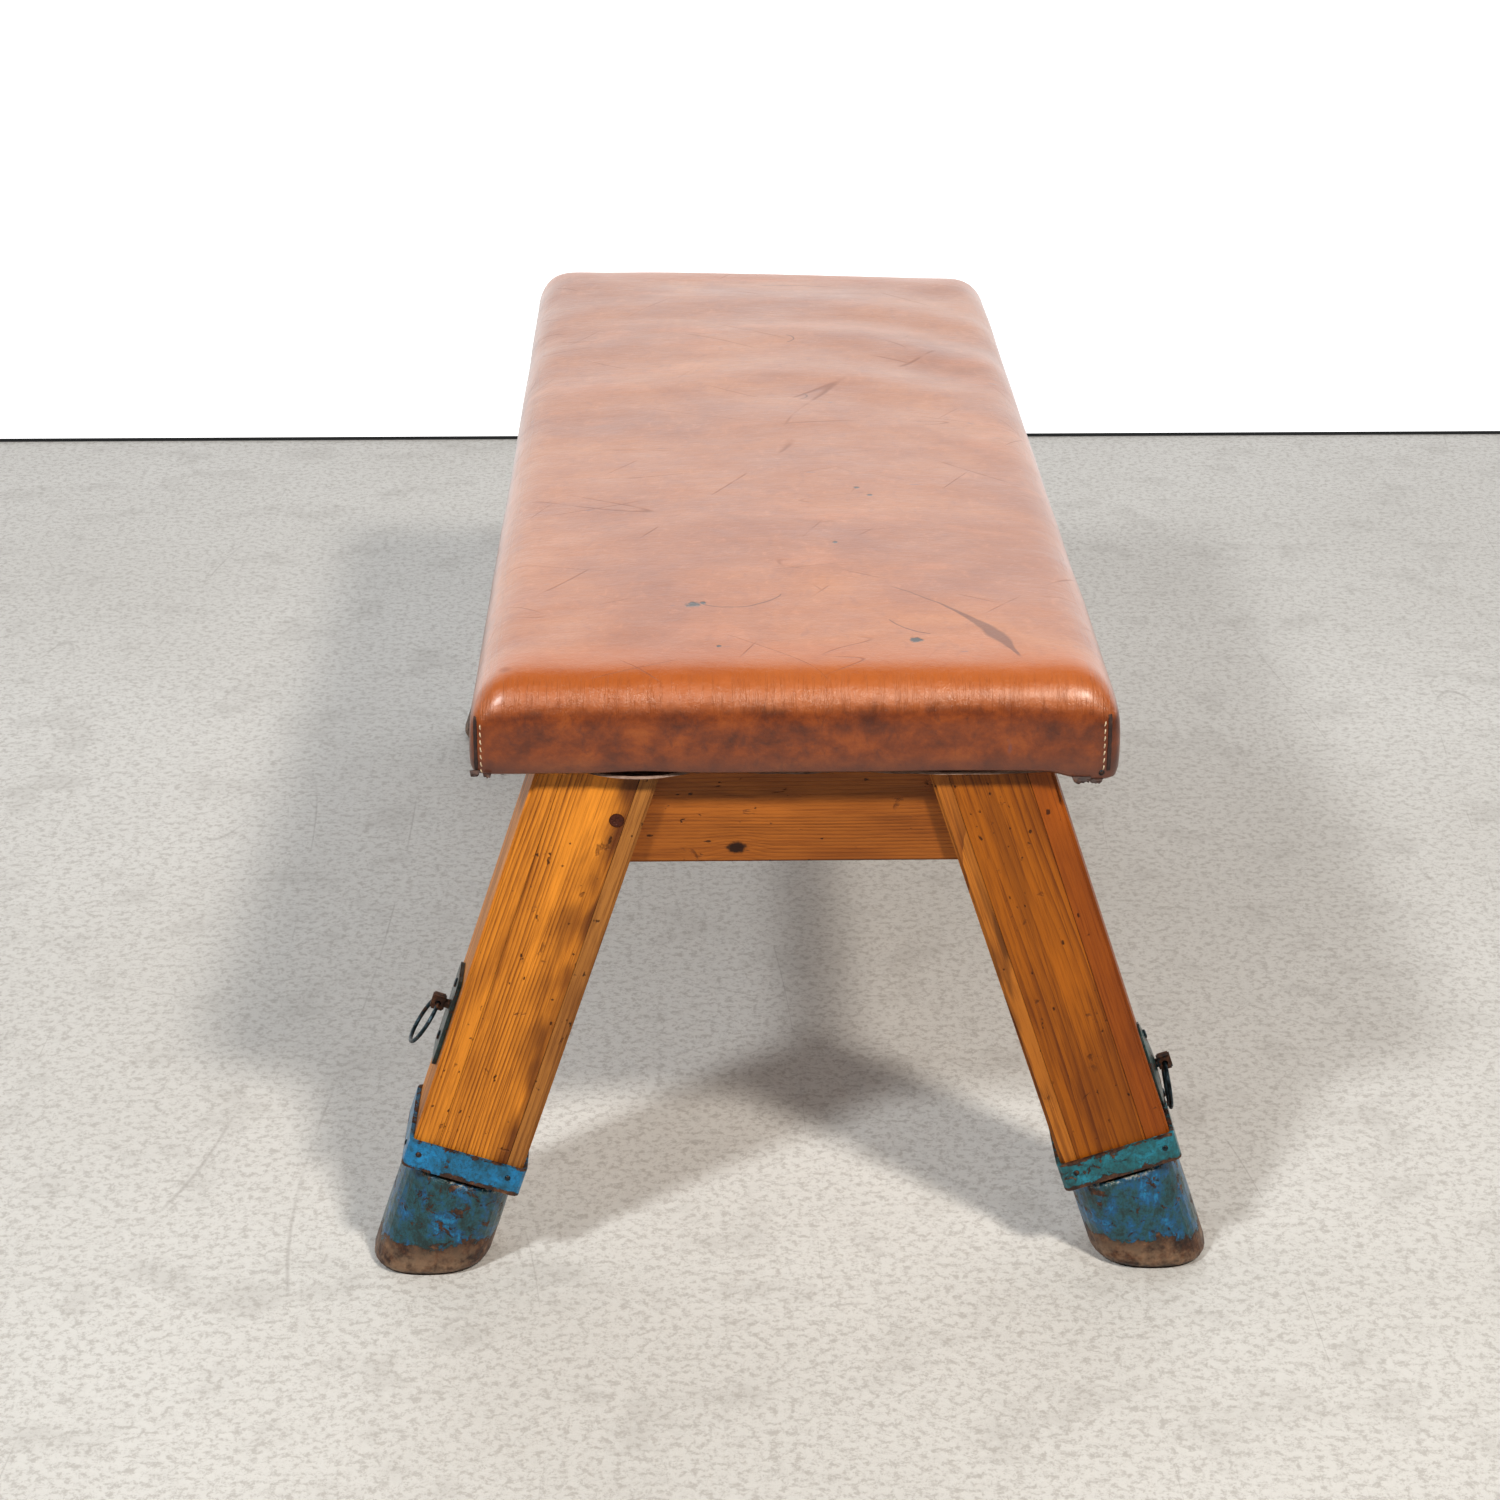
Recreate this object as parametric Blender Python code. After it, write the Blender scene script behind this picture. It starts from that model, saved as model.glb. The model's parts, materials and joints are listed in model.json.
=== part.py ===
"""A low leather-topped pommel horse on four splayed legs that telescope.

Metres, +Z up. The origin is on the floor under the middle of the seat, and the seat's length
runs along Y. Each leg is a box of four boards round a sliding wooden extension, which stands in
a cast shoe. A sprung bolt with a pull ring locks the extension from the leg's outer side.
"""

import math

import bmesh
import bpy
from mathutils import Matrix, Vector

GAP = 0.0003

# Seat
SEAT_LENGTH = 1.010
SEAT_WIDTH = 0.400
SEAT_UNDERSIDE = 0.366
SEAT_HEIGHT = 0.432
SEAT_CORNER_RADIUS = 0.024
SEAT_EDGE_RADIUS = 0.032
LEATHER = 0.0022
HEM_WIDTH = 0.012
PLANK_THICKNESS = 0.022
PLANK_COUNT = 3

# Legs, in a leg's own frame: X outwards, Y along the seat, Z up the leg from the floor
SPLAY = math.radians(18.4)
LEG_TOP_X = 0.120
LEG_SETBACK = 0.014
LEG_WIDTH = 0.074
LEG_DEPTH = 0.070
LEG_BOTTOM = 0.0795
OUTER_BOARD = 0.016
INNER_BOARD = 0.011
END_BOARD = 0.0150
BOARD_EDGE = 0.0022
COLLAR_BOTTOM = 0.078
COLLAR_TOP = 0.098
COLLAR_THICKNESS = 0.0026

# Rails
RAIL_BOTTOM = 0.295
END_RAIL_THICKNESS = 0.022
END_RAIL_SETBACK = 0.012
SIDE_RAIL_THICKNESS = 0.024
SIDE_RAIL_BOTTOM = 0.308

# Telescopic extension and its shoe
SLIDE_CLEARANCE = 0.0005
EXTENSION_BOTTOM = 0.020
EXTENSION_TOP = 0.335
TRAVEL = 0.120
HOLE_PITCH = 0.040
SHOE_TOP = 0.0745
SHOE_RADIUS = 0.0372
SHOE_SQUARENESS = 2.5
SHOE_SOLE_ROUNDING = 0.008

# Latch
LATCH_HEIGHT = {"left": 0.181, "right": 0.130}
PLATE_MIDDLE = {"left": 0.1745, "right": 0.1303}
PLATE_HALF_LENGTH = 0.0315
PLATE_WIDTH = 0.036
FLAT_PLATE = 0.0026
DOME_PLATE = 0.0044
OVAL_PLATE_POWER = 2
SQUARE_PLATE_POWER = 10
BOLT_RADIUS = 0.003
BOLT_TIP_IN = 0.0045
FLANGE_RADIUS = 0.0048
FLANGE_THICKNESS = 0.0014
SPRING_POCKET_RADIUS = 0.0058
SPRING_POCKET_DEPTH = 0.0125
SPRING_RADIUS = 0.0042
SPRING_WIRE = 0.0005
SPRING_TURNS = 4
EYE_OFFSET = 0.0102
EYE_RADIUS = 0.0021
BLOCK_HIGH = 0.0100
BLOCK_OUT = 0.0090
BLOCK_DEEP = 0.0072
RING_RADIUS = 0.0165
RING_WIRE = 0.00135

PLUG_RADIUS = 0.0045
PLUG_PLACE = (-0.0205, 0.3540)
PLUG_DEPTH = 0.0100

# Worked out
SIN, COS = math.sin(SPLAY), math.cos(SPLAY)
FOOT_X = LEG_TOP_X + SEAT_UNDERSIDE * math.tan(SPLAY)
LEG_Y = SEAT_LENGTH / 2 - LEG_SETBACK - LEG_DEPTH / 2
HALF_WIDTH, HALF_DEPTH = LEG_WIDTH / 2, LEG_DEPTH / 2
PLANK_BOTTOM = SEAT_UNDERSIDE + LEATHER + GAP
LEG_TOP = PLANK_BOTTOM - GAP
CAVITY_IN = -HALF_WIDTH + INNER_BOARD
CAVITY_OUT = HALF_WIDTH - OUTER_BOARD
CAVITY_HALF_DEPTH = HALF_DEPTH - END_BOARD
EXTENSION_IN = CAVITY_IN + SLIDE_CLEARANCE
EXTENSION_OUT = CAVITY_OUT - SLIDE_CLEARANCE
EXTENSION_HALF_DEPTH = CAVITY_HALF_DEPTH - SLIDE_CLEARANCE
FLANGE_X = HALF_WIDTH - SPRING_POCKET_DEPTH + GAP
EYE_X = HALF_WIDTH + EYE_OFFSET

# Where each ring hangs, measured from straight down the leg, outwards positive
RING_ANGLE = {"near_left": 17.0, "near_right": -9.0, "far_left": -9.0, "far_right": -9.0}

COLOURS = {
    "leather": (0.47, 0.17, 0.07, 0.42, 0.0),
    "felt": (0.42, 0.36, 0.28, 0.95, 0.0),
    "plank_pine": (0.55, 0.36, 0.18, 0.70, 0.0),
    "leg_pine": (0.60, 0.28, 0.07, 0.45, 0.0),
    "rail_pine": (0.50, 0.26, 0.08, 0.50, 0.0),
    "plug_wood": (0.12, 0.06, 0.03, 0.60, 0.0),
    "blue_paint": (0.02, 0.22, 0.42, 0.45, 0.2),
    "dark_paint": (0.05, 0.09, 0.10, 0.50, 0.4),
    "rusty_steel": (0.16, 0.08, 0.05, 0.60, 0.7),
    "spring_steel": (0.30, 0.30, 0.30, 0.40, 0.9),
}


def clear_scene():
    for obj in list(bpy.data.objects):
        bpy.data.objects.remove(obj, do_unlink=True)


def material(name):
    found = bpy.data.materials.get(name)
    if found:
        return found
    red, green, blue, roughness, metallic = COLOURS[name]
    made = bpy.data.materials.new(name)
    made.use_nodes = True
    shader = made.node_tree.nodes["Principled BSDF"]
    shader.inputs["Base Color"].default_value = (red, green, blue, 1)
    shader.inputs["Roughness"].default_value = roughness
    shader.inputs["Metallic"].default_value = metallic
    return made


def place(name, bm, finish, parent=None, location=(0, 0, 0), rotation=(0, 0, 0), smooth=0.0):
    """Make one object from a bmesh, with its material, its parent and its place there."""
    bmesh.ops.recalc_face_normals(bm, faces=bm.faces)
    mesh = bpy.data.meshes.new(name)
    bm.to_mesh(mesh)
    bm.free()
    if smooth:
        mesh.shade_smooth()
        mesh.set_sharp_from_angle(angle=math.radians(smooth))
    mesh.materials.append(material(finish))
    obj = bpy.data.objects.new(name, mesh)
    bpy.context.scene.collection.objects.link(obj)
    obj.parent = parent
    obj.location = location
    obj.rotation_euler = rotation
    return obj


def cut(obj, bm, name):
    """Subtract a hidden cutter, which shares the object's parent and place."""
    cutter = place(name, bm, "rusty_steel", obj.parent, obj.location, obj.rotation_euler)
    cutter.hide_render = True
    cutter.display_type = "WIRE"
    modifier = obj.modifiers.new(name, "BOOLEAN")
    modifier.operation = "DIFFERENCE"
    modifier.object = cutter


def loft(rings, closed_loop=False):
    """Skin a list of rings with equal point counts. The ends are capped, or joined in a loop."""
    bm = bmesh.new()
    loops = [[bm.verts.new(point) for point in ring] for ring in rings]
    pairs = list(zip(loops, loops[1:]))
    if closed_loop:
        pairs.append((loops[-1], loops[0]))
    else:
        bm.faces.new(loops[0])
        bm.faces.new(loops[-1])
    for low, high in pairs:
        for i in range(len(low)):
            j = (i + 1) % len(low)
            bm.faces.new((low[i], low[j], high[j], high[i]))
    return bm


def box(low, high):
    """A box between two corners, as a bmesh."""
    (x0, y0, z0), (x1, y1, z1) = low, high
    rings = [[(x0, y0, z), (x1, y0, z), (x1, y1, z), (x0, y1, z)] for z in (z0, z1)]
    return loft(rings)


def rounded_rectangle(half_x, half_y, radius, z, steps=4):
    """The points of a rounded rectangle round the origin, anticlockwise."""
    points = []
    for corner, (sx, sy) in enumerate(((1, 1), (-1, 1), (-1, -1), (1, -1))):
        for step in range(steps + 1):
            angle = math.pi / 2 * (corner + step / steps)
            x = sx * (half_x - radius) + radius * math.cos(angle)
            y = sy * (half_y - radius) + radius * math.sin(angle)
            points.append((x, y, z))
    return points


def pad_rings(inset, low, high, edge_radius, steps=5):
    """Rings up a pad whose top edge is rounded, drawn in by inset on all sides."""
    half_x, half_y = SEAT_WIDTH / 2 - inset, SEAT_LENGTH / 2 - inset
    corner = SEAT_CORNER_RADIUS - inset
    rings = [rounded_rectangle(half_x, half_y, corner, low)]
    for step in range(steps + 1):
        angle = math.pi / 2 * step / steps
        back = edge_radius * (1 - math.cos(angle))
        z = high - edge_radius * (1 - math.sin(angle))
        ring_corner = max(corner - back * 0.5, 0.004)
        rings.append(rounded_rectangle(half_x - back, half_y - back, ring_corner, z))
    return rings


def leather_cover():
    """A thin cover, open underneath, whose hem turns in under the planks."""
    outside = pad_rings(0, SEAT_UNDERSIDE, SEAT_HEIGHT, SEAT_EDGE_RADIUS)
    inside = pad_rings(
        LEATHER, SEAT_UNDERSIDE + LEATHER, SEAT_HEIGHT - LEATHER, SEAT_EDGE_RADIUS - LEATHER
    )
    half_x, half_y = SEAT_WIDTH / 2 - HEM_WIDTH, SEAT_LENGTH / 2 - HEM_WIDTH
    radius = SEAT_CORNER_RADIUS - HEM_WIDTH
    hem = [
        rounded_rectangle(half_x, half_y, radius, SEAT_UNDERSIDE),
        rounded_rectangle(half_x, half_y, radius, SEAT_UNDERSIDE + LEATHER),
    ]
    bm = loft(outside[::-1] + hem + inside)
    place("leather_cover", bm, "leather", smooth=40)


def padding():
    inset = LEATHER + GAP
    low = PLANK_BOTTOM + PLANK_THICKNESS + GAP
    high = SEAT_HEIGHT - inset
    bm = loft(pad_rings(inset, low, high, SEAT_EDGE_RADIUS - inset))
    place("padding", bm, "felt", smooth=40)


def seat_planks():
    """Long planks side by side, which carry the padding."""
    inset = LEATHER + GAP
    inner_width = SEAT_WIDTH - 2 * inset
    pitch = inner_width / PLANK_COUNT
    half_y = SEAT_LENGTH / 2 - inset
    corner = SEAT_CORNER_RADIUS - inset
    low, high = PLANK_BOTTOM, PLANK_BOTTOM + PLANK_THICKNESS
    for i, side in enumerate(("left", "middle", "right")):
        x0 = -inner_width / 2 + i * pitch + (GAP if i else 0)
        x1 = -inner_width / 2 + (i + 1) * pitch
        chamfer_in = corner if i == 0 else 0.001
        chamfer_out = corner if i == PLANK_COUNT - 1 else 0.001
        outline = [
            (x0 + chamfer_in, -half_y),
            (x1 - chamfer_out, -half_y),
            (x1, -half_y + chamfer_out),
            (x1, half_y - chamfer_out),
            (x1 - chamfer_out, half_y),
            (x0 + chamfer_in, half_y),
            (x0, half_y - chamfer_in),
            (x0, -half_y + chamfer_in),
        ]
        bm = loft([[(x, y, z) for x, y in outline] for z in (low, high)])
        place(f"seat_plank_{side}", bm, "plank_pine")


def end_rail(name, side):
    """The rail across one end, cut at the splay where it meets the two legs."""
    face = side * (SEAT_LENGTH / 2 - LEG_SETBACK - END_RAIL_SETBACK)
    back = face - side * END_RAIL_THICKNESS

    def half_length(z):
        return LEG_TOP_X + (SEAT_UNDERSIDE - z) * math.tan(SPLAY) - HALF_WIDTH / COS - GAP / COS

    rings = []
    for z in (RAIL_BOTTOM, LEG_TOP):
        half_x = half_length(z)
        rings.append([(-half_x, face, z), (half_x, face, z), (half_x, back, z), (-half_x, back, z)])
    bm = loft(rings)
    bottom_front = [
        e for e in bm.edges
        if all(abs(v.co.z - RAIL_BOTTOM) < 1e-6 and abs(v.co.y - face) < 1e-6 for v in e.verts)
    ]
    bmesh.ops.bevel(bm, geom=bottom_front, offset=0.0015, segments=2, affect="EDGES")
    place(name, bm, "rail_pine")


def side_rail(name, side):
    """The rail between the near and the far leg of one side."""
    half_y = LEG_Y - HALF_DEPTH - GAP
    x = side * LEG_TOP_X
    low = (x - SIDE_RAIL_THICKNESS / 2, -half_y, SIDE_RAIL_BOTTOM)
    high = (x + SIDE_RAIL_THICKNESS / 2, half_y, LEG_TOP)
    bm = box(low, high)
    bmesh.ops.bevel(bm, geom=bm.edges[:], offset=0.001, segments=1, affect="EDGES")
    place(name, bm, "rail_pine")


def leg_board(x0, x1, y0, y1, rounded_x=None):
    """A leg board with its top cut level under the planks. rounded_x is its outer face's X."""

    def top(x):
        return (LEG_TOP - x * SIN) / COS

    rings = [
        [(x0, y0, LEG_BOTTOM), (x1, y0, LEG_BOTTOM), (x1, y1, LEG_BOTTOM), (x0, y1, LEG_BOTTOM)],
        [(x0, y0, top(x0)), (x1, y0, top(x1)), (x1, y1, top(x1)), (x0, y1, top(x0))],
    ]
    bm = loft(rings)
    if rounded_x is not None:
        long_edges = [
            e for e in bm.edges
            if all(abs(v.co.x - rounded_x) < 1e-6 for v in e.verts)
            and abs(e.verts[0].co.z - e.verts[1].co.z) > 0.1
        ]
        bmesh.ops.bevel(bm, geom=long_edges, offset=BOARD_EDGE, segments=3, affect="EDGES")
    return bm


def turned(profile, segments=16):
    """A solid turned round the local X axis from (x, radius) points."""
    rings = []
    for x, radius in profile:
        angles = [2 * math.pi * i / segments for i in range(segments)]
        rings.append([(x, radius * math.cos(a), radius * math.sin(a)) for a in angles])
    return loft(rings)


def leg_boards(leg, empty, end_side, latch_z):
    """The four boards of one leg, with the bolt's hole, its spring pocket and the plug's hole."""
    between = (CAVITY_IN + GAP, CAVITY_OUT - GAP)
    for name, side in ((f"{leg}_end_board", end_side), (f"{leg}_middle_board", -end_side)):
        y = sorted((side * HALF_DEPTH, side * (HALF_DEPTH - END_BOARD)))
        board = place(name, leg_board(*between, *y), "leg_pine", empty)
        if side == end_side and leg.endswith("left"):
            plug_hole(board, leg, empty, end_side)
    bm = leg_board(-HALF_WIDTH, CAVITY_IN, -HALF_DEPTH, HALF_DEPTH, -HALF_WIDTH)
    place(f"{leg}_inner_board", bm, "leg_pine", empty, smooth=40)
    bm = leg_board(CAVITY_OUT, HALF_WIDTH, -HALF_DEPTH, HALF_DEPTH, HALF_WIDTH)
    outer = place(f"{leg}_outer_board", bm, "leg_pine", empty, smooth=40)
    pocket_floor = HALF_WIDTH - SPRING_POCKET_DEPTH
    stepped = turned([
        (CAVITY_OUT - 0.002, BOLT_RADIUS + 0.0005),
        (pocket_floor, BOLT_RADIUS + 0.0005),
        (pocket_floor, SPRING_POCKET_RADIUS),
        (HALF_WIDTH + 0.002, SPRING_POCKET_RADIUS),
    ])
    stepped.transform(Matrix.Translation((0, 0, latch_z)))
    cut(outer, stepped, f"{leg}_bolt_hole_cutter")


def plug_along_y(radius, y0, y1):
    """A round rod along Y at the plug's place."""
    x, z = PLUG_PLACE
    bm = turned([(y0, radius), (y1, radius)])
    bm.transform(Matrix.Translation((x, 0, z)) @ Matrix.Rotation(math.pi / 2, 4, "Z"))
    return bm


def plug_hole(board, leg, empty, end_side):
    face = end_side * HALF_DEPTH
    outside, inside = face + end_side * 0.002, face - end_side * (PLUG_DEPTH + GAP)
    hole = plug_along_y(PLUG_RADIUS + GAP, *sorted((outside, inside)))
    cut(board, hole, f"{leg}_plug_hole_cutter")
    plug = plug_along_y(PLUG_RADIUS, *sorted((face, face - end_side * PLUG_DEPTH)))
    place(f"{leg}_wooden_plug", plug, "plug_wood", empty, smooth=40)


def collar(leg, empty):
    """The painted steel band round the leg's lower end."""
    inner_x, inner_y = HALF_WIDTH + GAP, HALF_DEPTH + GAP
    outer_x, outer_y = inner_x + COLLAR_THICKNESS, inner_y + COLLAR_THICKNESS
    inner_r, outer_r = BOARD_EDGE, BOARD_EDGE + COLLAR_THICKNESS
    low, high = COLLAR_BOTTOM, COLLAR_TOP
    rings = [
        rounded_rectangle(outer_x, outer_y, outer_r, low, 3),
        rounded_rectangle(outer_x, outer_y, outer_r, high, 3),
        rounded_rectangle(inner_x, inner_y, inner_r, high, 3),
        rounded_rectangle(inner_x, inner_y, inner_r, low, 3),
    ]
    place(f"{leg}_collar", loft(rings, closed_loop=True), "blue_paint", empty, smooth=40)


def extension(leg, empty, latch_z):
    """The sliding wooden bar, with a groove for the bolt's tip and a locking hole every pitch."""
    low = (EXTENSION_IN, -EXTENSION_HALF_DEPTH, EXTENSION_BOTTOM)
    high = (EXTENSION_OUT, EXTENSION_HALF_DEPTH, EXTENSION_TOP)
    bar = place(f"{leg}_extension", box(low, high), "leg_pine", empty)
    width = BOLT_RADIUS + 0.001
    floor = EXTENSION_OUT - BOLT_TIP_IN - 0.001
    groove_low = (floor, -width, latch_z - width)
    groove_high = (EXTENSION_OUT + 0.002, width, latch_z + TRAVEL + width)
    cut(bar, box(groove_low, groove_high), f"{leg}_groove_cutter")
    hole_count = round(TRAVEL / HOLE_PITCH) + 1
    for i in range(hole_count):
        hole = turned([(floor - 0.010, BOLT_RADIUS + 0.0003), (floor + 0.001, BOLT_RADIUS + 0.0003)], 12)
        hole.transform(Matrix.Translation((0, 0, latch_z + i * HOLE_PITCH)))
        cut(bar, hole, f"{leg}_locking_hole_cutter_{i}")


def superellipse(half_a, half_b, power, count):
    """Points round a superellipse: power 2 is an ellipse, and more is squarer."""
    points = []
    for i in range(count):
        angle = 2 * math.pi * i / count
        c, s = math.cos(angle), math.sin(angle)
        a = half_a * math.copysign(abs(c) ** (2 / power), c)
        b = half_b * math.copysign(abs(s) ** (2 / power), s)
        points.append((a, b))
    return points


def shoe_ring(scale, height_share, lift):
    """A ring of the shoe: height_share 0 lies in the floor's plane and 1 square to the leg."""
    radius = SHOE_RADIUS * scale
    points = []
    for x, y in superellipse(radius, radius, SHOE_SQUARENESS, 32):
        floor_z = -x * math.tan(SPLAY) + lift
        points.append((x, y, floor_z + (SHOE_TOP - floor_z) * height_share))
    return points


def shoe(leg, empty):
    """The cast shoe: a slanted hoof with a level sole, and a square pocket for the extension."""
    rings = []
    steps = 4
    for step in range(steps + 1):
        angle = math.pi / 2 * step / steps
        back = SHOE_SOLE_ROUNDING * (1 - math.sin(angle))
        lift = SHOE_SOLE_ROUNDING * (1 - math.cos(angle))
        rings.append(shoe_ring(1 - back / SHOE_RADIUS, 0, lift))
    rings.append(shoe_ring(1.0, 0.55, 0))
    rings.append(shoe_ring(0.985, 0.975, 0))
    rings.append(shoe_ring(0.955, 1.0, 0))
    body = place(f"{leg}_shoe", loft(rings), "blue_paint", empty, smooth=35)
    low = (EXTENSION_IN - GAP, -EXTENSION_HALF_DEPTH - GAP, EXTENSION_BOTTOM - GAP)
    high = (EXTENSION_OUT + GAP, EXTENSION_HALF_DEPTH + GAP, SHOE_TOP + 0.01)
    cut(body, box(low, high), f"{leg}_shoe_pocket_cutter")


def latch_plate(leg, empty, latch_z):
    """The plate over the spring pocket: flat on the left legs, domed on the right ones."""
    domed = leg.endswith("right")
    middle = PLATE_MIDDLE["right" if domed else "left"] - latch_z
    power = OVAL_PLATE_POWER if domed else SQUARE_PLATE_POWER
    outline = superellipse(PLATE_WIDTH / 2, PLATE_HALF_LENGTH, power, 24)
    outline = [(y, z + middle) for y, z in outline]
    hole_radius = BOLT_RADIUS + 0.0005
    hole = superellipse(hole_radius, hole_radius, 2, 24)
    back = HALF_WIDTH + GAP
    edge = 0.0012 if domed else FLAT_PLATE
    crown = DOME_PLATE if domed else FLAT_PLATE
    shares = (0, 0.25, 0.5, 0.75, 0.92, 1.0) if domed else (0, 1.0)
    front = []
    for share in shares:
        height = back + edge + (crown - edge) * (1 - share ** 2)
        front.append([
            (height, hy + (oy - hy) * share, hz + (oz - hz) * share + latch_z)
            for (hy, hz), (oy, oz) in zip(hole, outline)
        ])
    rear = [[(back, y, z + latch_z) for y, z in ring] for ring in (outline, hole)]
    bm = loft(front + rear, closed_loop=True)
    place(f"{leg}_latch_plate", bm, "dark_paint", empty, smooth=40)


def latch_bolt(leg, empty, latch_z):
    """The bolt: tip, shank, spring flange, neck and an eyed block that holds the pull ring."""
    tip = EXTENSION_OUT - BOLT_TIP_IN
    block_in = EYE_X - BLOCK_OUT / 2
    bm = turned([
        (tip, BOLT_RADIUS - 0.0008),
        (tip + 0.0008, BOLT_RADIUS),
        (FLANGE_X, BOLT_RADIUS),
        (FLANGE_X, FLANGE_RADIUS),
        (FLANGE_X + FLANGE_THICKNESS, FLANGE_RADIUS),
        (FLANGE_X + FLANGE_THICKNESS, BOLT_RADIUS),
        (block_in + 0.001, BOLT_RADIUS),
    ])
    bolt = place(f"{leg}_latch_bolt", bm, "rusty_steel", empty, (0, 0, latch_z), smooth=40)
    block_low = (block_in, -BLOCK_DEEP / 2, -BLOCK_HIGH / 2)
    block_high = (block_in + BLOCK_OUT, BLOCK_DEEP / 2, BLOCK_HIGH / 2)
    block = box(block_low, block_high)
    bmesh.ops.bevel(block, geom=block.edges[:], offset=0.0009, segments=2, affect="EDGES")
    helper = place(f"{leg}_bolt_block_helper", block, "rusty_steel", empty, (0, 0, latch_z))
    helper.hide_render = True
    helper.display_type = "WIRE"
    union = bolt.modifiers.new("block", "BOOLEAN")
    union.operation = "UNION"
    union.object = helper
    eye = turned([(-0.01, EYE_RADIUS), (0.01, EYE_RADIUS)], 12)
    eye.transform(Matrix.Translation((EYE_X, 0, 0)) @ Matrix.Rotation(math.pi / 2, 4, "Z"))
    cut(bolt, eye, f"{leg}_eye_cutter")


def latch_spring(leg, empty, latch_z):
    """The coil spring between the bolt's flange and the latch plate."""
    start = FLANGE_X + FLANGE_THICKNESS + GAP + SPRING_WIRE
    end = HALF_WIDTH - SPRING_WIRE
    points_per_turn = 12
    count = SPRING_TURNS * points_per_turn + 1
    curve = bpy.data.curves.new(f"{leg}_latch_spring", "CURVE")
    curve.dimensions = "3D"
    curve.bevel_depth = SPRING_WIRE
    curve.bevel_resolution = 1
    curve.use_fill_caps = True
    spline = curve.splines.new("POLY")
    spline.points.add(count - 1)
    for i, point in enumerate(spline.points):
        angle = 2 * math.pi * i / points_per_turn
        x = start + (end - start) * i / (count - 1)
        point.co = (x, SPRING_RADIUS * math.cos(angle), SPRING_RADIUS * math.sin(angle), 1)
    curve.materials.append(material("spring_steel"))
    obj = bpy.data.objects.new(f"{leg}_latch_spring", curve)
    bpy.context.scene.collection.objects.link(obj)
    obj.parent = empty
    obj.location = (0, 0, latch_z)


def pull_ring(leg, empty, latch_z):
    """The ring, turned about the eye's axis, so that its origin is on its hinge."""
    rings = []
    around, across = 28, 8
    for i in range(around):
        angle = 2 * math.pi * i / around
        centre = Vector((0, RING_RADIUS * math.sin(angle), RING_RADIUS * (math.cos(angle) - 1)))
        outward = Vector((0, math.sin(angle), math.cos(angle)))
        ring = []
        for k in range(across):
            turn = 2 * math.pi * k / across
            ring.append(centre + RING_WIRE * (outward * math.cos(turn) + Vector((math.sin(turn), 0, 0))))
        rings.append(ring)
    bm = loft(rings, closed_loop=True)
    tilt = -math.radians(RING_ANGLE[leg])
    place(
        f"{leg}_pull_ring", bm, "rusty_steel", empty, (EYE_X, 0, latch_z), (0, tilt, 0), smooth=60
    )


def leg(name, side, end):
    """One leg: side is +1 on the right, end is +1 at the far end."""
    empty = bpy.data.objects.new(f"{name}_frame", None)
    bpy.context.scene.collection.objects.link(empty)
    empty.location = (side * FOOT_X, end * LEG_Y, 0)
    turn = 0 if side > 0 else math.pi
    empty.rotation_euler = (0, -SPLAY, turn)
    latch_z = LATCH_HEIGHT["right" if side > 0 else "left"]
    leg_boards(name, empty, end * side, latch_z)
    collar(name, empty)
    extension(name, empty, latch_z)
    shoe(name, empty)
    latch_plate(name, empty, latch_z)
    latch_bolt(name, empty, latch_z)
    latch_spring(name, empty, latch_z)
    pull_ring(name, empty, latch_z)


def main():
    clear_scene()
    leather_cover()
    padding()
    seat_planks()
    for end_name, end in (("near", -1), ("far", 1)):
        end_rail(f"{end_name}_end_rail", end)
        for side_name, side in (("left", -1), ("right", 1)):
            leg(f"{end_name}_{side_name}", side, end)
    side_rail("left_side_rail", -1)
    side_rail("right_side_rail", 1)


main()
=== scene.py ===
"""Looks for a low leather pommel horse: worn leather, varnished pine, chipped blue iron.

Metres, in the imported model's frame: the origin is on the floor under the middle of the seat,
+Y runs along the seat away from the camera, and +X is to the right.
"""

import functools
import json
import math
import random

import bmesh
import bpy
from mathutils import Euler, Matrix, Vector, noise
from mathutils.bvhtree import BVHTree


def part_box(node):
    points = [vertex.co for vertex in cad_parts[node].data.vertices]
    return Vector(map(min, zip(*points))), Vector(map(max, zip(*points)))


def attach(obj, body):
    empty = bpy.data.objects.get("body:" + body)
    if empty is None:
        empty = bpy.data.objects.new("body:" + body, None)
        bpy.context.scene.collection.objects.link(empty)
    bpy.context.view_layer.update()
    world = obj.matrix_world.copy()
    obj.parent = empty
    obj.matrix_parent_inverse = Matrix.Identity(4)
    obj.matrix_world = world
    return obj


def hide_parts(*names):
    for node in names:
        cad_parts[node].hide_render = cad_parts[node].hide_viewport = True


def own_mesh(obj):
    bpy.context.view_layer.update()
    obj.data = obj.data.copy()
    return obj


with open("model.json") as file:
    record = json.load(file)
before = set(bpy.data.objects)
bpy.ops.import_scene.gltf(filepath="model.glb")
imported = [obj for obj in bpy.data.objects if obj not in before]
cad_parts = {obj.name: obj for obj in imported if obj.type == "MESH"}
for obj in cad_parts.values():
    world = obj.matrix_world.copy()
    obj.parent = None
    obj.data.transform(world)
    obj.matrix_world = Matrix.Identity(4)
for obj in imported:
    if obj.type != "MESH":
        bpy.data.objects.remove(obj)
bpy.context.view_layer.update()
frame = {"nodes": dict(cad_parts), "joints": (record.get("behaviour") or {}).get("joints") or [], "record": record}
NODES = frame["nodes"]
JOINTS = {joint["name"]: joint for joint in frame["joints"]}

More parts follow.
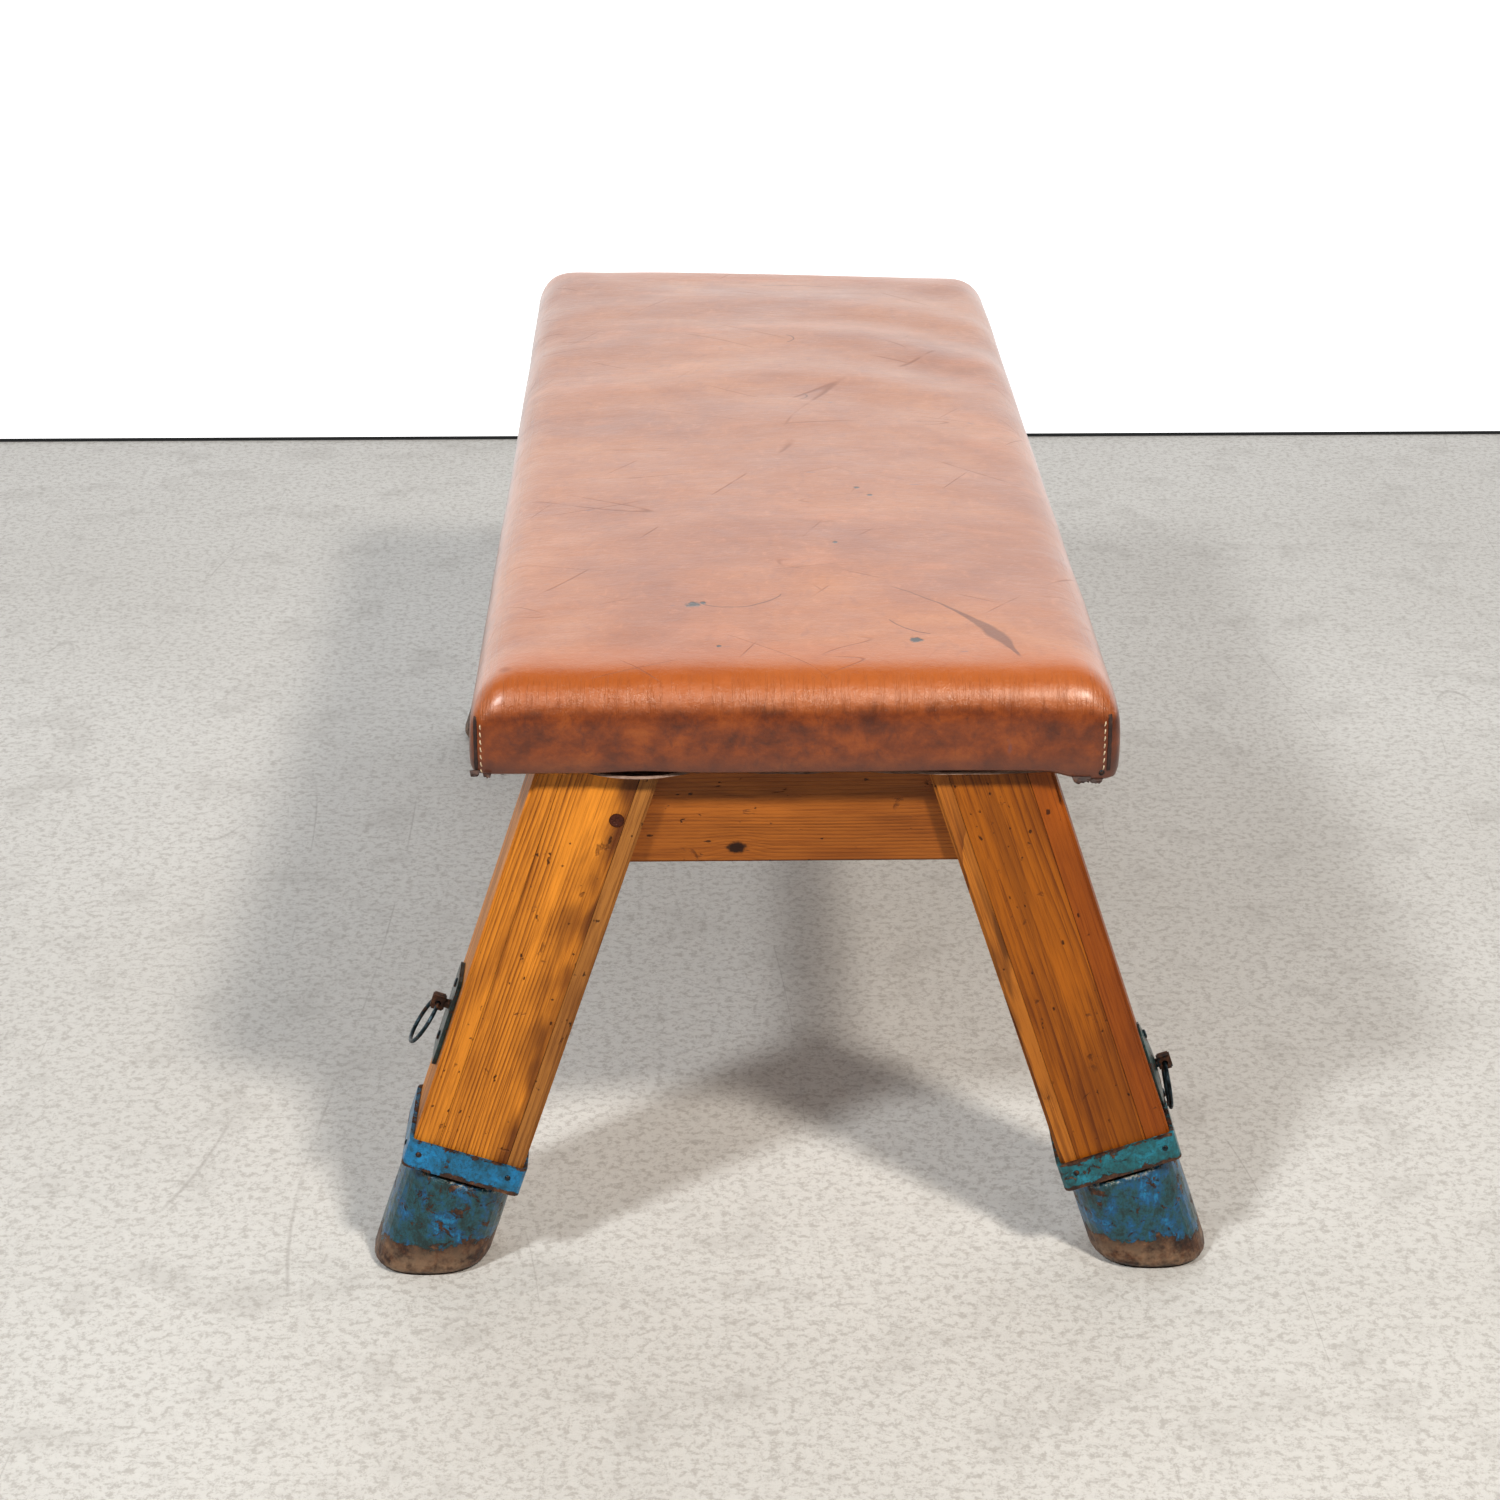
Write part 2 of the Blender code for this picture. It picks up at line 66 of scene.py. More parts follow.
LEGS = ("near_left", "near_right", "far_left", "far_right")
COVER_LOW, COVER_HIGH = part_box("leather_cover")
HALF_WIDTH, HALF_LENGTH = COVER_HIGH.x, COVER_HIGH.y
UNDERSIDE, SEAT_TOP = COVER_LOW.z, COVER_HIGH.z
PLANK_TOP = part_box("seat_plank_middle")[1].z

X, Y, Z = Vector((1, 0, 0)), Vector((0, 1, 0)), Vector((0, 0, 1))


# ---------------------------------------------------------------- node trees


class Shader:
    """One material, with short calls for the nodes that the finishes share."""

    def __init__(self, name, roughness=0.5, metallic=0.0, coat=None):
        self.material = bpy.data.materials.new(name)
        self.material.use_nodes = True
        self.tree = self.material.node_tree
        self.bsdf = self.tree.nodes["Principled BSDF"]
        self.bsdf.inputs["Roughness"].default_value = roughness
        self.bsdf.inputs["Metallic"].default_value = metallic
        if coat:
            self.bsdf.inputs["Coat Weight"].default_value = coat[0]
            self.bsdf.inputs["Coat Roughness"].default_value = coat[1]
        self.where = self.add("ShaderNodeTexCoord")["Object"]
        self.normal = None

    def feed(self, socket, value):
        """Link a node's output to the socket, or set the socket to a plain value."""
        if isinstance(value, bpy.types.NodeSocket):
            self.tree.links.new(value, socket)
        else:
            socket.default_value = value

    def add(self, kind, inputs=(), **settings):
        """Add a node, fed in order or by the inputs' names, and give its outputs."""
        node = self.tree.nodes.new(kind)
        for name, value in settings.items():
            setattr(node, name, value)
        for key, value in inputs.items() if isinstance(inputs, dict) else enumerate(inputs):
            self.feed(node.inputs[key], value)
        return node.outputs

    def placed(self, vector=None, location=(0, 0, 0), rotation=(0, 0, 0), scale=(1, 1, 1)):
        """Texture coordinates, moved, turned and scaled."""
        place = {"Location": location, "Rotation": rotation, "Scale": scale}
        return self.add("ShaderNodeMapping", {"Vector": vector or self.where, **place})["Vector"]

    def noise(self, vector, scale, detail=3.0, roughness=0.55, distortion=0.0):
        look = {"Scale": scale, "Detail": detail, "Roughness": roughness, "Distortion": distortion}
        return self.add("ShaderNodeTexNoise", {"Vector": vector, **look})["Fac"]

    def cells(self, scale):
        """How far each point is from the heart of its cell, as in pores."""
        return self.add("ShaderNodeTexVoronoi", {"Vector": self.where, "Scale": scale})["Distance"]

    def math(self, operation, a, b=0.0, c=0.0):
        return self.add("ShaderNodeMath", (a, b, c), operation=operation)[0]

    def plus(self, a, b):
        return self.math("ADD", a, b)

    def less(self, a, b):
        return self.math("SUBTRACT", a, b)

    def times(self, a, b):
        return self.math("MULTIPLY", a, b)

    def times_plus(self, a, b, c):
        return self.math("MULTIPLY_ADD", a, b, c)

    def most(self, values):
        """The highest of a row of values, as where any of a few masks shows."""
        return functools.reduce(lambda a, b: self.math("MAXIMUM", a, b), values)

    def length(self, a, b):
        """The length of a flat vector with the parts a and b."""
        return self.math("SQRT", self.times_plus(a, a, self.times(b, b)))

    def rise(self, value, low, high, start=0.0, end=1.0):
        """A smooth step from start at low to end at high."""
        steps = (value, low, high, start, end)
        return self.add("ShaderNodeMapRange", steps, interpolation_type="SMOOTHSTEP")[0]

    def ridge(self, value, width):
        """1 along the line where a noise passes its middle, so a thin wandering line."""
        away = self.math("ABSOLUTE", self.less(value, 0.5))
        return self.rise(away, width, 0.0)

    def ramp(self, value, stops):
        """Colours at places from 0 to 1, blended between."""
        node = self.tree.nodes.new("ShaderNodeValToRGB")
        self.feed(node.inputs["Fac"], value)
        elements = node.color_ramp.elements
        while len(elements) < len(stops):
            elements.new(0.5)
        for element, (position, colour) in zip(elements, stops):
            element.position = position
            element.color = (*colour, 1)
        return node.outputs["Color"]

    def mix(self, share, a, b):
        colours = [c if isinstance(c, bpy.types.NodeSocket) else (*c, 1) for c in (a, b)]
        inputs = dict(zip(("Factor", "A", "B"), (share, *colours)))
        return self.add("ShaderNodeMix", inputs, data_type="RGBA")["Result"]

    def stained(self, colour, stain, share, strength):
        """The colour, with a stain over the share of it that a mask gives."""
        return self.mix(self.times(share, strength), colour, stain)

    def axes(self, vector=None):
        """The X, Y and Z of a vector, or of the point in the row frame."""
        return self.add("ShaderNodeSeparateXYZ", [vector or self.where])

    def bump(self, height, depth):
        """Add relief: height 0 to 1, depth in metres at 1."""
        inputs = {"Distance": depth, "Height": height}
        if self.normal is not None:
            inputs["Normal"] = self.normal
        self.normal = self.add("ShaderNodeBump", inputs)["Normal"]

    def done(self, colour=None, roughness=None, metallic=None):
        for name, value in (("Base Color", colour), ("Roughness", roughness), ("Metallic", metallic)):
            if value is not None:
                self.feed(self.bsdf.inputs[name], value)
        if self.normal is not None:
            self.feed(self.bsdf.inputs["Normal"], self.normal)
        return self.material


# ---------------------------------------------------------------- leather


def from_point(s, place):
    """Distance across the seat's plane from a point (x, y), and the two offsets."""
    x, y, _ = s.axes()
    dx = s.less(x, place[0])
    dy = s.less(y, place[1])
    return s.length(dx, dy), dx, dy


def leather_scuff(s, centre, radius, start, end, width):
    """A mask for a curved scuff: an arc of a circle, thin at start, widest near the end.

    start and end are angles in degrees round the centre, in the seat's plane."""
    out, dx, dy = from_point(s, centre)
    angle = s.math("ARCTAN2", dy, dx)
    start, end = math.radians(start), math.radians(end)
    along = s.rise(angle, start, end)
    wobble = s.noise(s.where, 60, 2)
    wander = s.times(s.less(wobble, 0.5), 0.003)
    away = s.math("ABSOLUTE", s.less(s.plus(out, wander), radius))
    wide = s.times(s.math("POWER", along, 2.0), s.rise(along, 1.04, 0.78))
    half = s.times_plus(wide, width, 0.0006)
    inside = s.rise(s.math("DIVIDE", away, half), 1.15, 0.6)
    low, high = min(start, end), max(start, end)
    begun = s.rise(angle, low - 0.01, low + 0.03)
    over = s.rise(angle, high + 0.03, high - 0.01)
    return s.times(inside, s.times(begun, over))


def leather_spot(s, place, size):
    """A mask for a small ragged spot on top of the seat."""
    away = from_point(s, place)[0]
    ragged = s.times(s.noise(s.where, 260, 3), size * 1.3)
    return s.rise(s.plus(away, ragged), size * 1.6, size * 1.1)


def leather_marks(s):
    """The marks that this seat has picked up, each at its own place on the top."""
    scuff = leather_scuff(s, (-0.085, -0.526), 0.232, 48, 14, 0.0092)
    arcs = (
        ((-0.038, -0.352), 0.035, -122, -22), ((0.01, 0.245), 0.011, -60, 60),
        ((0.018, 0.081), 0.009, -70, 50), ((0.1, -0.395), 0.04, -160, -110),
        ((0.024, 0.3), 0.135, 75, 100),
    )
    spots = (
        ((-0.0623, -0.3815), 0.0064), ((-0.056, -0.379), 0.003), ((0.0775, -0.4425), 0.0052),
        ((0.0547, -0.1457), 0.003), ((0.0631, -0.1618), 0.0028), ((0.0339, -0.2655), 0.0026),
        ((-0.046, -0.452), 0.002),
    )
    dark = [s.times(scuff, 0.66)]
    dark += [s.times(leather_scuff(s, *arc, 0.0004), 0.7) for arc in arcs]
    return s.most(dark), s.most(leather_spot(s, *spot) for spot in spots)


def leather_scratches(s):
    """Fine wandering lines, in patches, at four scales and directions."""
    lines = []
    for i, (turn, scale, width, least) in enumerate((
        (0.5, 9, 0.0034, 0.52), (-1.1, 12, 0.0036, 0.54), (2.3, 10, 0.003, 0.54), (1.3, 22, 0.005, 0.55),
    )):
        at = s.placed(location=(i * 3.1, i * 1.7, 0), rotation=(0, 0, turn))
        at = s.placed(at, scale=(1, 0.14, 1))
        line = s.ridge(s.noise(at, scale, 1.0, 0.3), width)
        patch = s.rise(s.noise(s.placed(location=(9 + i, 4, 2)), 14, 2), least, least + 0.1)
        lines.append(s.times(line, patch))
    return s.most(lines)


def leather_material():
    """Worn brown leather: streaked and scratched on top, darker and blotched down the sides."""
    s = Shader("worn_leather", coat=(0.55, 0.3))
    _, y, z = s.axes()
    up = s.axes(s.add("ShaderNodeNewGeometry")["Normal"])[2]

    patches = s.noise(s.where, 7, 4, 0.6, 0.6)
    colour = s.ramp(patches, [
        (0.32, (0.295, 0.08, 0.02)), (0.5, (0.375, 0.112, 0.027)), (0.68, (0.45, 0.15, 0.04)),
    ])
    # Broad streaks across the hide, dark and pale
    streak_at = s.placed(scale=(0.45, 1, 1), rotation=(0, 0, 0.1))
    streaks = s.noise(streak_at, 21, 3, 0.5, 0.7)
    colour = s.stained(colour, (0.27, 0.066, 0.024), s.rise(streaks, 0.5, 0.72), 0.22)
    colour = s.stained(colour, (0.56, 0.19, 0.074), s.rise(streaks, 0.46, 0.28), 0.3)
    fine = s.noise(s.placed(scale=(1, 0.6, 1)), 130, 4, 0.72, 0.6)
    colour = s.stained(colour, (0.23, 0.058, 0.026), s.rise(fine, 0.5, 0.7), 0.3)
    colour = s.stained(colour, (0.62, 0.24, 0.11), s.rise(fine, 0.46, 0.3), 0.22)

    # Sides: browner and blotched, with short upright streaks, darker towards the hem
    blotch = s.noise(s.placed(scale=(0.8, 0.8, 1)), 42, 6, 0.7, 0.15)
    side = s.ramp(blotch, [
        (0.34, (0.09, 0.02, 0.006)), (0.46, (0.17, 0.037, 0.007)),
        (0.56, (0.24, 0.055, 0.008)), (0.72, (0.34, 0.094, 0.016)),
    ])
    dirt = s.noise(s.placed(scale=(1, 1, 0.6)), 150, 5, 0.7, 0.5)
    side = s.stained(side, (0.07, 0.02, 0.014), s.rise(dirt, 0.52, 0.7), 0.45)
    colour = s.mix(s.rise(up, 0.75, 0.2), colour, side)
    hem = s.times(s.rise(z, UNDERSIDE + 0.018, UNDERSIDE), 0.65)
    colour = s.mix(hem, colour, (0.1, 0.036, 0.024))

    # Painted shading: a saturated orange band where the top turns down at the ends, where the roll reflects no
    # bright wall and so shows no sheen
    from_end = s.less(HALF_LENGTH, s.math("ABSOLUTE", y))
    drift = s.times(s.less(s.noise(s.where, 16, 3), 0.5), 0.03)
    from_end = s.plus(from_end, drift)
    band = s.times(s.rise(from_end, 0.066, 0.036), s.rise(up, 0.25, 0.7))
    colour = s.stained(colour, (0.43, 0.105, 0.014), band, 0.5)
    # Painted highlight: a paler colour along the roll's crest, where the soft boxes' highlight lies, broken up in
    # patches
    crest_highlight = s.times(s.rise(up, 0.25, 0.45), s.rise(up, 0.85, 0.65))
    highlight_patches = s.noise(s.placed(scale=(2.2, 2.2, 0.6)), 60, 4, 0.6)
    crest_highlight = s.times(crest_highlight, s.rise(highlight_patches, 0.42, 0.6))
    colour = s.stained(colour, (0.5, 0.165, 0.06), crest_highlight, 0.35)

    scratches = s.times(leather_scratches(s), s.rise(up, 0.55, 0.85))
    colour = s.stained(colour, (0.12, 0.04, 0.034), scratches, 0.36)
    # Bluish rubbed marks
    rub = s.rise(s.noise(s.placed(scale=(1, 2.4, 1), location=(5, 5, 5)), 42, 2, 0.5, 0.4), 0.725, 0.78)
    colour = s.stained(colour, (0.13, 0.065, 0.085), rub, 0.5)
    dark, spots = leather_marks(s)
    on_top = s.rise(z, SEAT_TOP - 0.02, SEAT_TOP - 0.012)
    colour = s.stained(colour, (0.115, 0.036, 0.022), dark, on_top)
    colour = s.stained(colour, (0.018, 0.014, 0.012), spots, on_top)

    # Relief: pores, the hide's creases, scratches, and upright cracks over the roll
    s.bump(s.cells(900), 0.0001)
    s.bump(s.noise(s.placed(scale=(1, 1.6, 1)), 180, 4, 0.6), 0.0004)
    s.bump(s.noise(streak_at, 48, 3, 0.5), 0.001)
    s.bump(s.less(1.0, s.most((scratches, spots))), 0.0003)
    cracks = s.noise(s.placed(scale=(12, 0.8, 1)), 26, 4, 0.65)
    on_roll = s.times(s.rise(up, 0.99, 0.8), s.rise(up, 0.05, 0.4))
    s.bump(s.times(s.rise(cracks, 0.45, 0.65), on_roll), 0.0004)
    rough = s.times_plus(s.noise(s.where, 24, 4), 0.2, 0.29)
    rough = s.plus(rough, s.times(s.rise(up, 0.4, 0.0), 0.08))
    rough = s.plus(rough, s.times(s.most((scratches, dark)), 0.2))
    return s.done(colour, rough)


def fibrous(name, roughness, pattern, stops, depth, stretch=1):
    """A material with one fine pattern, drawn out along Z, that gives its colours and its relief."""
    s = Shader(name, roughness=roughness)
    fibres = s.noise(s.placed(scale=(1, 1, stretch)), *pattern)
    s.bump(fibres, depth)
    return s.done(s.ramp(fibres, stops))


def flesh_material():
    """The hide's raw back, seen at the turned hem."""
    stops = [(0.3, (0.17, 0.1, 0.075)), (0.7, (0.42, 0.3, 0.24))]
    return fibrous("raw_hide", 0.85, (260, 4, 0.7), stops, 0.0004, stretch=3)


def thread_material():
    """Pale waxed linen."""
    stops = [(0.3, (0.35, 0.24, 0.15)), (0.7, (0.72, 0.6, 0.44))]
    return fibrous("waxed_thread", 0.6, (900, 2), stops, 0.0001)


def edge_material():
    """The dark worn edge of the hide, for tabs and seam strips."""
    stops = [(0.3, (0.02, 0.012, 0.012)), (0.55, (0.05, 0.026, 0.022)), (0.8, (0.17, 0.08, 0.05))]
    return fibrous("hide_edge", 0.6, (160, 4, 0.65), stops, 0.0006)


def felt_material():
    """Grey-brown felt with coarse hairs in it."""
    stops = [(0.3, (0.16, 0.12, 0.08)), (0.7, (0.45, 0.37, 0.28))]
    return fibrous("horsehair_felt", 0.95, (300, 5, 0.75, 1.0), stops, 0.0012, stretch=4)


# ---------------------------------------------------------------- wood


def on_right(leg):
    return leg.endswith("right")


def leg_placement(leg):
    """The matrix from a leg's own frame (X outwards, Z up the leg) to the row frame."""
    up_leg = -Vector(JOINTS[f"{leg}_leg_slide"]["axis"])
    outward = Vector(JOINTS[f"{leg}_bolt_pull"]["axis"])
    foot = next(m for m in frame["record"]["mounts"] if m["name"] == f"{leg}_sole")["pos_m"]
    turn = Matrix((outward, up_leg.cross(outward), up_leg)).transposed().to_4x4()
    return Matrix.Translation(foot) @ turn


def leg_reach(node, matrix):
    """The lowest and the highest X, Y and Z of a node, in its leg's own frame."""
    back = matrix.inverted()
    spread = list(zip(*(back @ v.co for v in NODES[node].data.vertices)))
    return Vector(map(min, spread)), Vector(map(max, spread))


def knots_in(s, here, knots):
    """How far knots push the growth rings aside, and where their dark hearts are."""
    pushed, hearts = 0.0, 0.0
    for kx, ky, kz, size in knots:
        x, y, z = s.axes(s.placed(here, location=(-kx, -ky, -kz)))
        flat = s.times_plus(x, x, s.times(y, y))
        away = s.math("SQRT", s.times_plus(s.times(z, z), 0.4, flat))
        push = s.times(s.rise(away, size * 4, 0.0), size * 0.9)
        pushed = s.plus(push, pushed)
        ragged = s.times(s.noise(s.where, 420, 2), size * 0.6)
        heart = s.rise(s.plus(away, ragged), size * 1.5, size * 0.9)
        hearts = s.math("MAXIMUM", heart, hearts)
    return pushed, hearts


def pine(name, matrix, tones, seed, lines=140, figure=1.0, stain=0.3, contrast=0.8, knots=(),
         varnish=0.12, soaked=None):
    """Varnished pine whose grain runs along Z of the frame that matrix gives.

    tones are the pale wood, the dark line and the stain. lines is how many growth rings a metre
    crosses, figure how much they wander, contrast how dark they are, and knots are (x, y, z, size)
    in that frame. stain is the strength of the brown stains, varnish that of the shine, and soaked
    is (from, to) in X of that frame, between which an old dark stain deepens."""
    s = Shader(name, coat=(varnish, 0.25))
    s.bsdf.inputs["Specular IOR Level"].default_value = 0.3
    back = matrix.inverted()
    here = s.placed(location=back.to_translation(), rotation=back.to_euler())
    shift = (seed * 1.37, seed * 2.11, seed * 0.73)

    def stretched(across, along, scale, detail, rough, distortion=0.0):
        at = s.placed(here, location=shift, scale=(across, across, along))
        return s.noise(at, scale, detail, rough, distortion)

    pale, dark, brown = tones
    deep = tuple(part * 0.35 for part in brown)
    pushed, hearts = knots_in(s, here, knots)
    across_x, across_y, _ = s.axes(here)
    pith_x = s.plus(across_x, 0.06 + 0.013 * (seed % 3))
    pith_y = s.plus(across_y, 0.02 * (seed % 5) - 0.05)
    radius = s.length(pith_x, pith_y)
    wander = s.less(stretched(4, 0.9, 1.6, 2, 0.5), 0.5)
    radius = s.times_plus(wander, 0.1 * figure, radius)
    radius = s.times_plus(stretched(20, 1.6, 2.4, 3, 0.55), 0.006, radius)
    radius = s.plus(radius, pushed)
    ring = s.math("FRACT", s.times(radius, lines))
    late = s.math("POWER", ring, 2.4)
    late = s.times(late, s.rise(stretched(28, 1.2, 2.0, 3, 0.6), 0.34, 0.58, 0.12, 1.0))

    fibre = stretched(90, 3, 9, 4, 0.7)
    colour = s.stained(pale, dark, late, contrast)
    colour = s.stained(colour, dark, s.rise(fibre, 0.47, 0.68), 0.4)
    tone = stretched(12, 3, 2.0, 3, 0.6, 0.3)
    light = tuple(min(1.0, part * 1.45) for part in pale)
    colour = s.stained(colour, light, s.rise(tone, 0.46, 0.28), 0.5)
    colour = s.stained(colour, dark, s.rise(tone, 0.52, 0.7), 0.4)
    soak = s.rise(stretched(22, 3.5, 1.7, 4, 0.62, 0.8), 0.5, 0.64)
    colour = s.stained(colour, brown, soak, stain)
    if soaked:
        ragged = s.less(stretched(16, 3, 2.5, 4, 0.6, 0.6), 0.5)
        edge = s.rise(s.times_plus(ragged, 0.05, across_x), *soaked)
        spread = s.times(edge, s.rise(stretched(9, 4, 2.5, 3, 0.6), 0.62, 0.42))
        colour = s.stained(colour, brown, spread, 0.85)
    threads = s.rise(stretched(160, 2.5, 4, 3, 0.6), 0.58, 0.66)
    colour = s.stained(colour, dark, threads, 0.45)
    bruise = s.rise(stretched(1, 0.8, 70, 4, 0.65, 0.5), 0.64, 0.72)
    colour = s.stained(colour, brown, bruise, 0.55)
    pits = s.rise(stretched(1, 0.6, 210, 2, 0.5), 0.7, 0.75)
    colour = s.stained(colour, deep, pits, 0.8)
    colour = s.mix(hearts, colour, deep)

    s.bump(s.times(late, -1.0), 0.00035)
    s.bump(fibre, 0.0003)
    s.bump(s.times(s.most((pits, bruise)), -1.0), 0.0006)
    return s.done(colour, s.times_plus(fibre, 0.3, 0.38))


# ---------------------------------------------------------------- painted iron


def rust_colour(s, seed, scale=130):
    """A blotched pattern, and the browns of rust in it."""
    tone = s.noise(s.placed(location=(0, seed, 1)), scale, 5, 0.7)
    colour = s.ramp(tone, [
        (0.32, (0.014, 0.009, 0.008)), (0.47, (0.052, 0.022, 0.013)),
        (0.6, (0.125, 0.052, 0.024)), (0.76, (0.3, 0.165, 0.085)),
    ])
    return tone, colour


def painted_iron(name, paints, chips, seed, edges=None, sole=None, rim_wear_and_highlight=None, matrix=None):
    """Old enamel in a few shades, chipped down to rust.

    paints are four colours from the dullest to the brightest, and chips the share of paint lost.
    edges is (bottom, top) up the leg of a band whose edges have lost their paint, sole is (bare below, painted
    above) over the floor, and rim_wear_and_highlight is the height up the leg of a pale rim: worn metal, with a
    painted highlight on it."""
    s = Shader(name, coat=(0.35, 0.22))
    at = s.placed(location=(seed, seed * 2, seed * 3))
    mottle = s.noise(s.placed(at, scale=(1, 1, 0.7)), 70, 7, 0.74, 0.25)
    tint = s.ramp(mottle, list(zip((0.38, 0.47, 0.56, 0.66), paints)))
    grime = s.noise(s.placed(location=(seed + 4, 0, 0)), 300, 5, 0.75)
    tint = s.stained(tint, paints[0], s.rise(grime, 0.48, 0.6), 0.6)
    tone, rust = rust_colour(s, seed)

    wear = s.noise(s.placed(location=(1, 2, seed)), 80, 6, 0.75, 0.6)
    back = (matrix or Matrix()).inverted()
    height = s.axes(s.placed(location=back.to_translation(), rotation=back.to_euler()))[2]
    if edges:
        below = s.rise(height, edges[0] + 0.0045, edges[0])
        above = s.rise(height, edges[1] - 0.003, edges[1])
        wear = s.times_plus(below, 0.22, wear)
        wear = s.times_plus(above, 0.12, wear)
    if sole:
        low = s.rise(s.axes()[2], sole[1], sole[0])
        wear = s.times_plus(low, 0.36, wear)
        dust = s.rise(s.noise(s.placed(location=(seed, 1, 1)), 46, 4, 0.7), 0.42, 0.62)
        pale = s.stained(rust, (0.33, 0.215, 0.135), dust, 0.75)
        rust = s.mix(low, rust, pale)
    edge = 0.68 - chips * 0.35
    bare = s.rise(wear, edge, edge + 0.02)
    rim = s.times(s.rise(wear, edge - 0.03, edge), s.less(1.0, bare))
    colour = s.mix(bare, tint, rust)
    colour = s.stained(colour, (0.012, 0.02, 0.022), rim, 0.45)
    # A pale rim round the shoe's top: worn metal, and a painted highlight where the rounded rim catches the light
    if rim_wear_and_highlight:
        top = s.times(s.rise(height, rim_wear_and_highlight - 0.004, rim_wear_and_highlight), s.rise(grime, 0.52, 0.4))
        colour = s.stained(colour, (0.42, 0.4, 0.33), top, 0.9)
    s.bump(s.times(bare, -1.0), 0.0005)
    s.bump(tone, 0.0005)
    s.bump(s.noise(at, 26, 3), 0.0014)
    rough = s.times_plus(bare, 0.34, s.times_plus(grime, 0.25, 0.22))
    return s.done(colour, rough, s.times(bare, 0.2))


def rusty_steel(name, seed, brown=0.5):
    """Blackened steel, with brown rust over the given share of it."""
    s = Shader(name, roughness=0.5)
    tone, rust = rust_colour(s, seed, 240)
    black = s.ramp(tone, [(0.3, (0.008, 0.012, 0.016)), (0.7, (0.05, 0.085, 0.105))])
    edge = 0.68 - brown * 0.36
    bare = s.rise(s.noise(s.placed(location=(seed, 0, 0)), 90, 4, 0.7), edge, edge + 0.04)
    s.bump(tone, 0.0004)
    rough = s.times_plus(bare, 0.35, 0.28)
    return s.done(s.mix(bare, black, rust), rough, s.times_plus(bare, -0.6, 0.8))


def spring_steel():
    """Grey steel that has kept its shine."""
    s = Shader("spring_steel", roughness=0.35, metallic=0.9)
    tone = s.noise(s.where, 400, 3)
    return s.done(s.ramp(tone, [(0.3, (0.16, 0.15, 0.14)), (0.7, (0.42, 0.41, 0.4))]))


# ---------------------------------------------------------------- mesh helpers


def put_in_scene(name, data):
    """A new object with the given data."""
    obj = bpy.data.objects.new(name, data)
    bpy.context.scene.collection.objects.link(obj)
    return obj


def piece(name, bm, material, smooth=35.0):
    """Turn a bmesh in the row frame into a piece that rides on the seat's body."""
    bmesh.ops.recalc_face_normals(bm, faces=bm.faces)
    mesh = bpy.data.meshes.new(name)
    bm.to_mesh(mesh)
    bm.free()
    mesh.shade_smooth()
    mesh.set_sharp_from_angle(angle=math.radians(smooth))
    mesh.materials.append(material)
    obj = put_in_scene(name, mesh)
    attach(obj, "frame")
    return obj


def round_rows(rows):
    """The four corners of each face between one closed row and the next."""
    for low, high in zip(rows, rows[1:]):
        for a, b, c, d in zip(low, low[1:] + low[:1], high[1:] + high[:1], high):
            yield a, b, c, d


def loft(bm, rings):
    """Skin rings of points with equal counts into bm, closed at both ends."""
    loops = [[bm.verts.new(point) for point in ring] for ring in rings]
    bm.faces.new(loops[0])
    bm.faces.new(loops[-1])
    for corners in round_rows(loops):
        bm.faces.new(corners)


def turned(matrix, profile, sides):
    """Rings for a turned shape: a profile of (radius, height) round the matrix's Z."""
    spokes = [math.tau * k / sides for k in range(sides)]
    return [[matrix @ Vector((r * math.cos(a), r * math.sin(a), z)) for a in spokes] for r, z in profile]


def rim_of(nx, ny):
    """The steps round the edge of a grid of nx by ny cells."""
    there = [(i, 0) for i in range(nx)] + [(nx, j) for j in range(ny)]
    return there + [(i, ny) for i in range(nx, 0, -1)] + [(0, j) for j in range(ny, 0, -1)]


def finish_node(node, material):
    """Give a CAD node that stays visible its finish."""
    materials = NODES[node].data.materials
    materials.clear()
    materials.append(material)


# ---------------------------------------------------------------- the cushion


LEATHER = 0.0022
EDGE_RADIUS = 0.031
HEM = 0.011
CELL = 0.0085
# The upright corners' outline, |x|^p + |y|^p, has the first power where soft and the second where
# tight, and goes from one to the other between these depths under the top
SOFT_CORNER, TIGHT_CORNER = 3.0, 9.0
TIGHTENS_FROM, TIGHTENS_TO = 0.016, 0.04

PRESSURE, SWELL_RISE = 4.0, 0.0035
CLOTH_FRAMES = 20
PINNED_BELOW = PLANK_TOP + 0.006
WAVE_LENGTH, PUCKER_LENGTH = 0.118, 0.013


def share(value, low, high):
    """0 below low, 1 above high, and a straight rise between."""
    return max(0.0, min(1.0, (value - low) / (high - low)))


def rounded_box_point(x, y, z, top):
    """Where a point of the flat-sided box lies once its edges are rounded.

    The upright corners are soft at the top, where the hide is pulled over, and tight at the seams."""
    inner_x, inner_y = HALF_WIDTH - EDGE_RADIUS, HALF_LENGTH - EDGE_RADIUS
    cx = max(-inner_x, min(inner_x, x))
    cy = max(-inner_y, min(inner_y, y))
    cz = min(top - EDGE_RADIUS, z)
    dx, dy, dz = x - cx, y - cy, z - cz
    tight = share(top - z, TIGHTENS_FROM, TIGHTENS_TO)
    power = SOFT_CORNER + (TIGHT_CORNER - SOFT_CORNER) * tight
    flat = (abs(dx) ** power + abs(dy) ** power) ** (1 / power)
    away = math.hypot(flat, dz)
    if away < 1e-9:
        return Vector((x, y, z))
    grow = EDGE_RADIUS / away
    return Vector((cx + dx * grow, cy + dy * grow, cz + dz * grow))


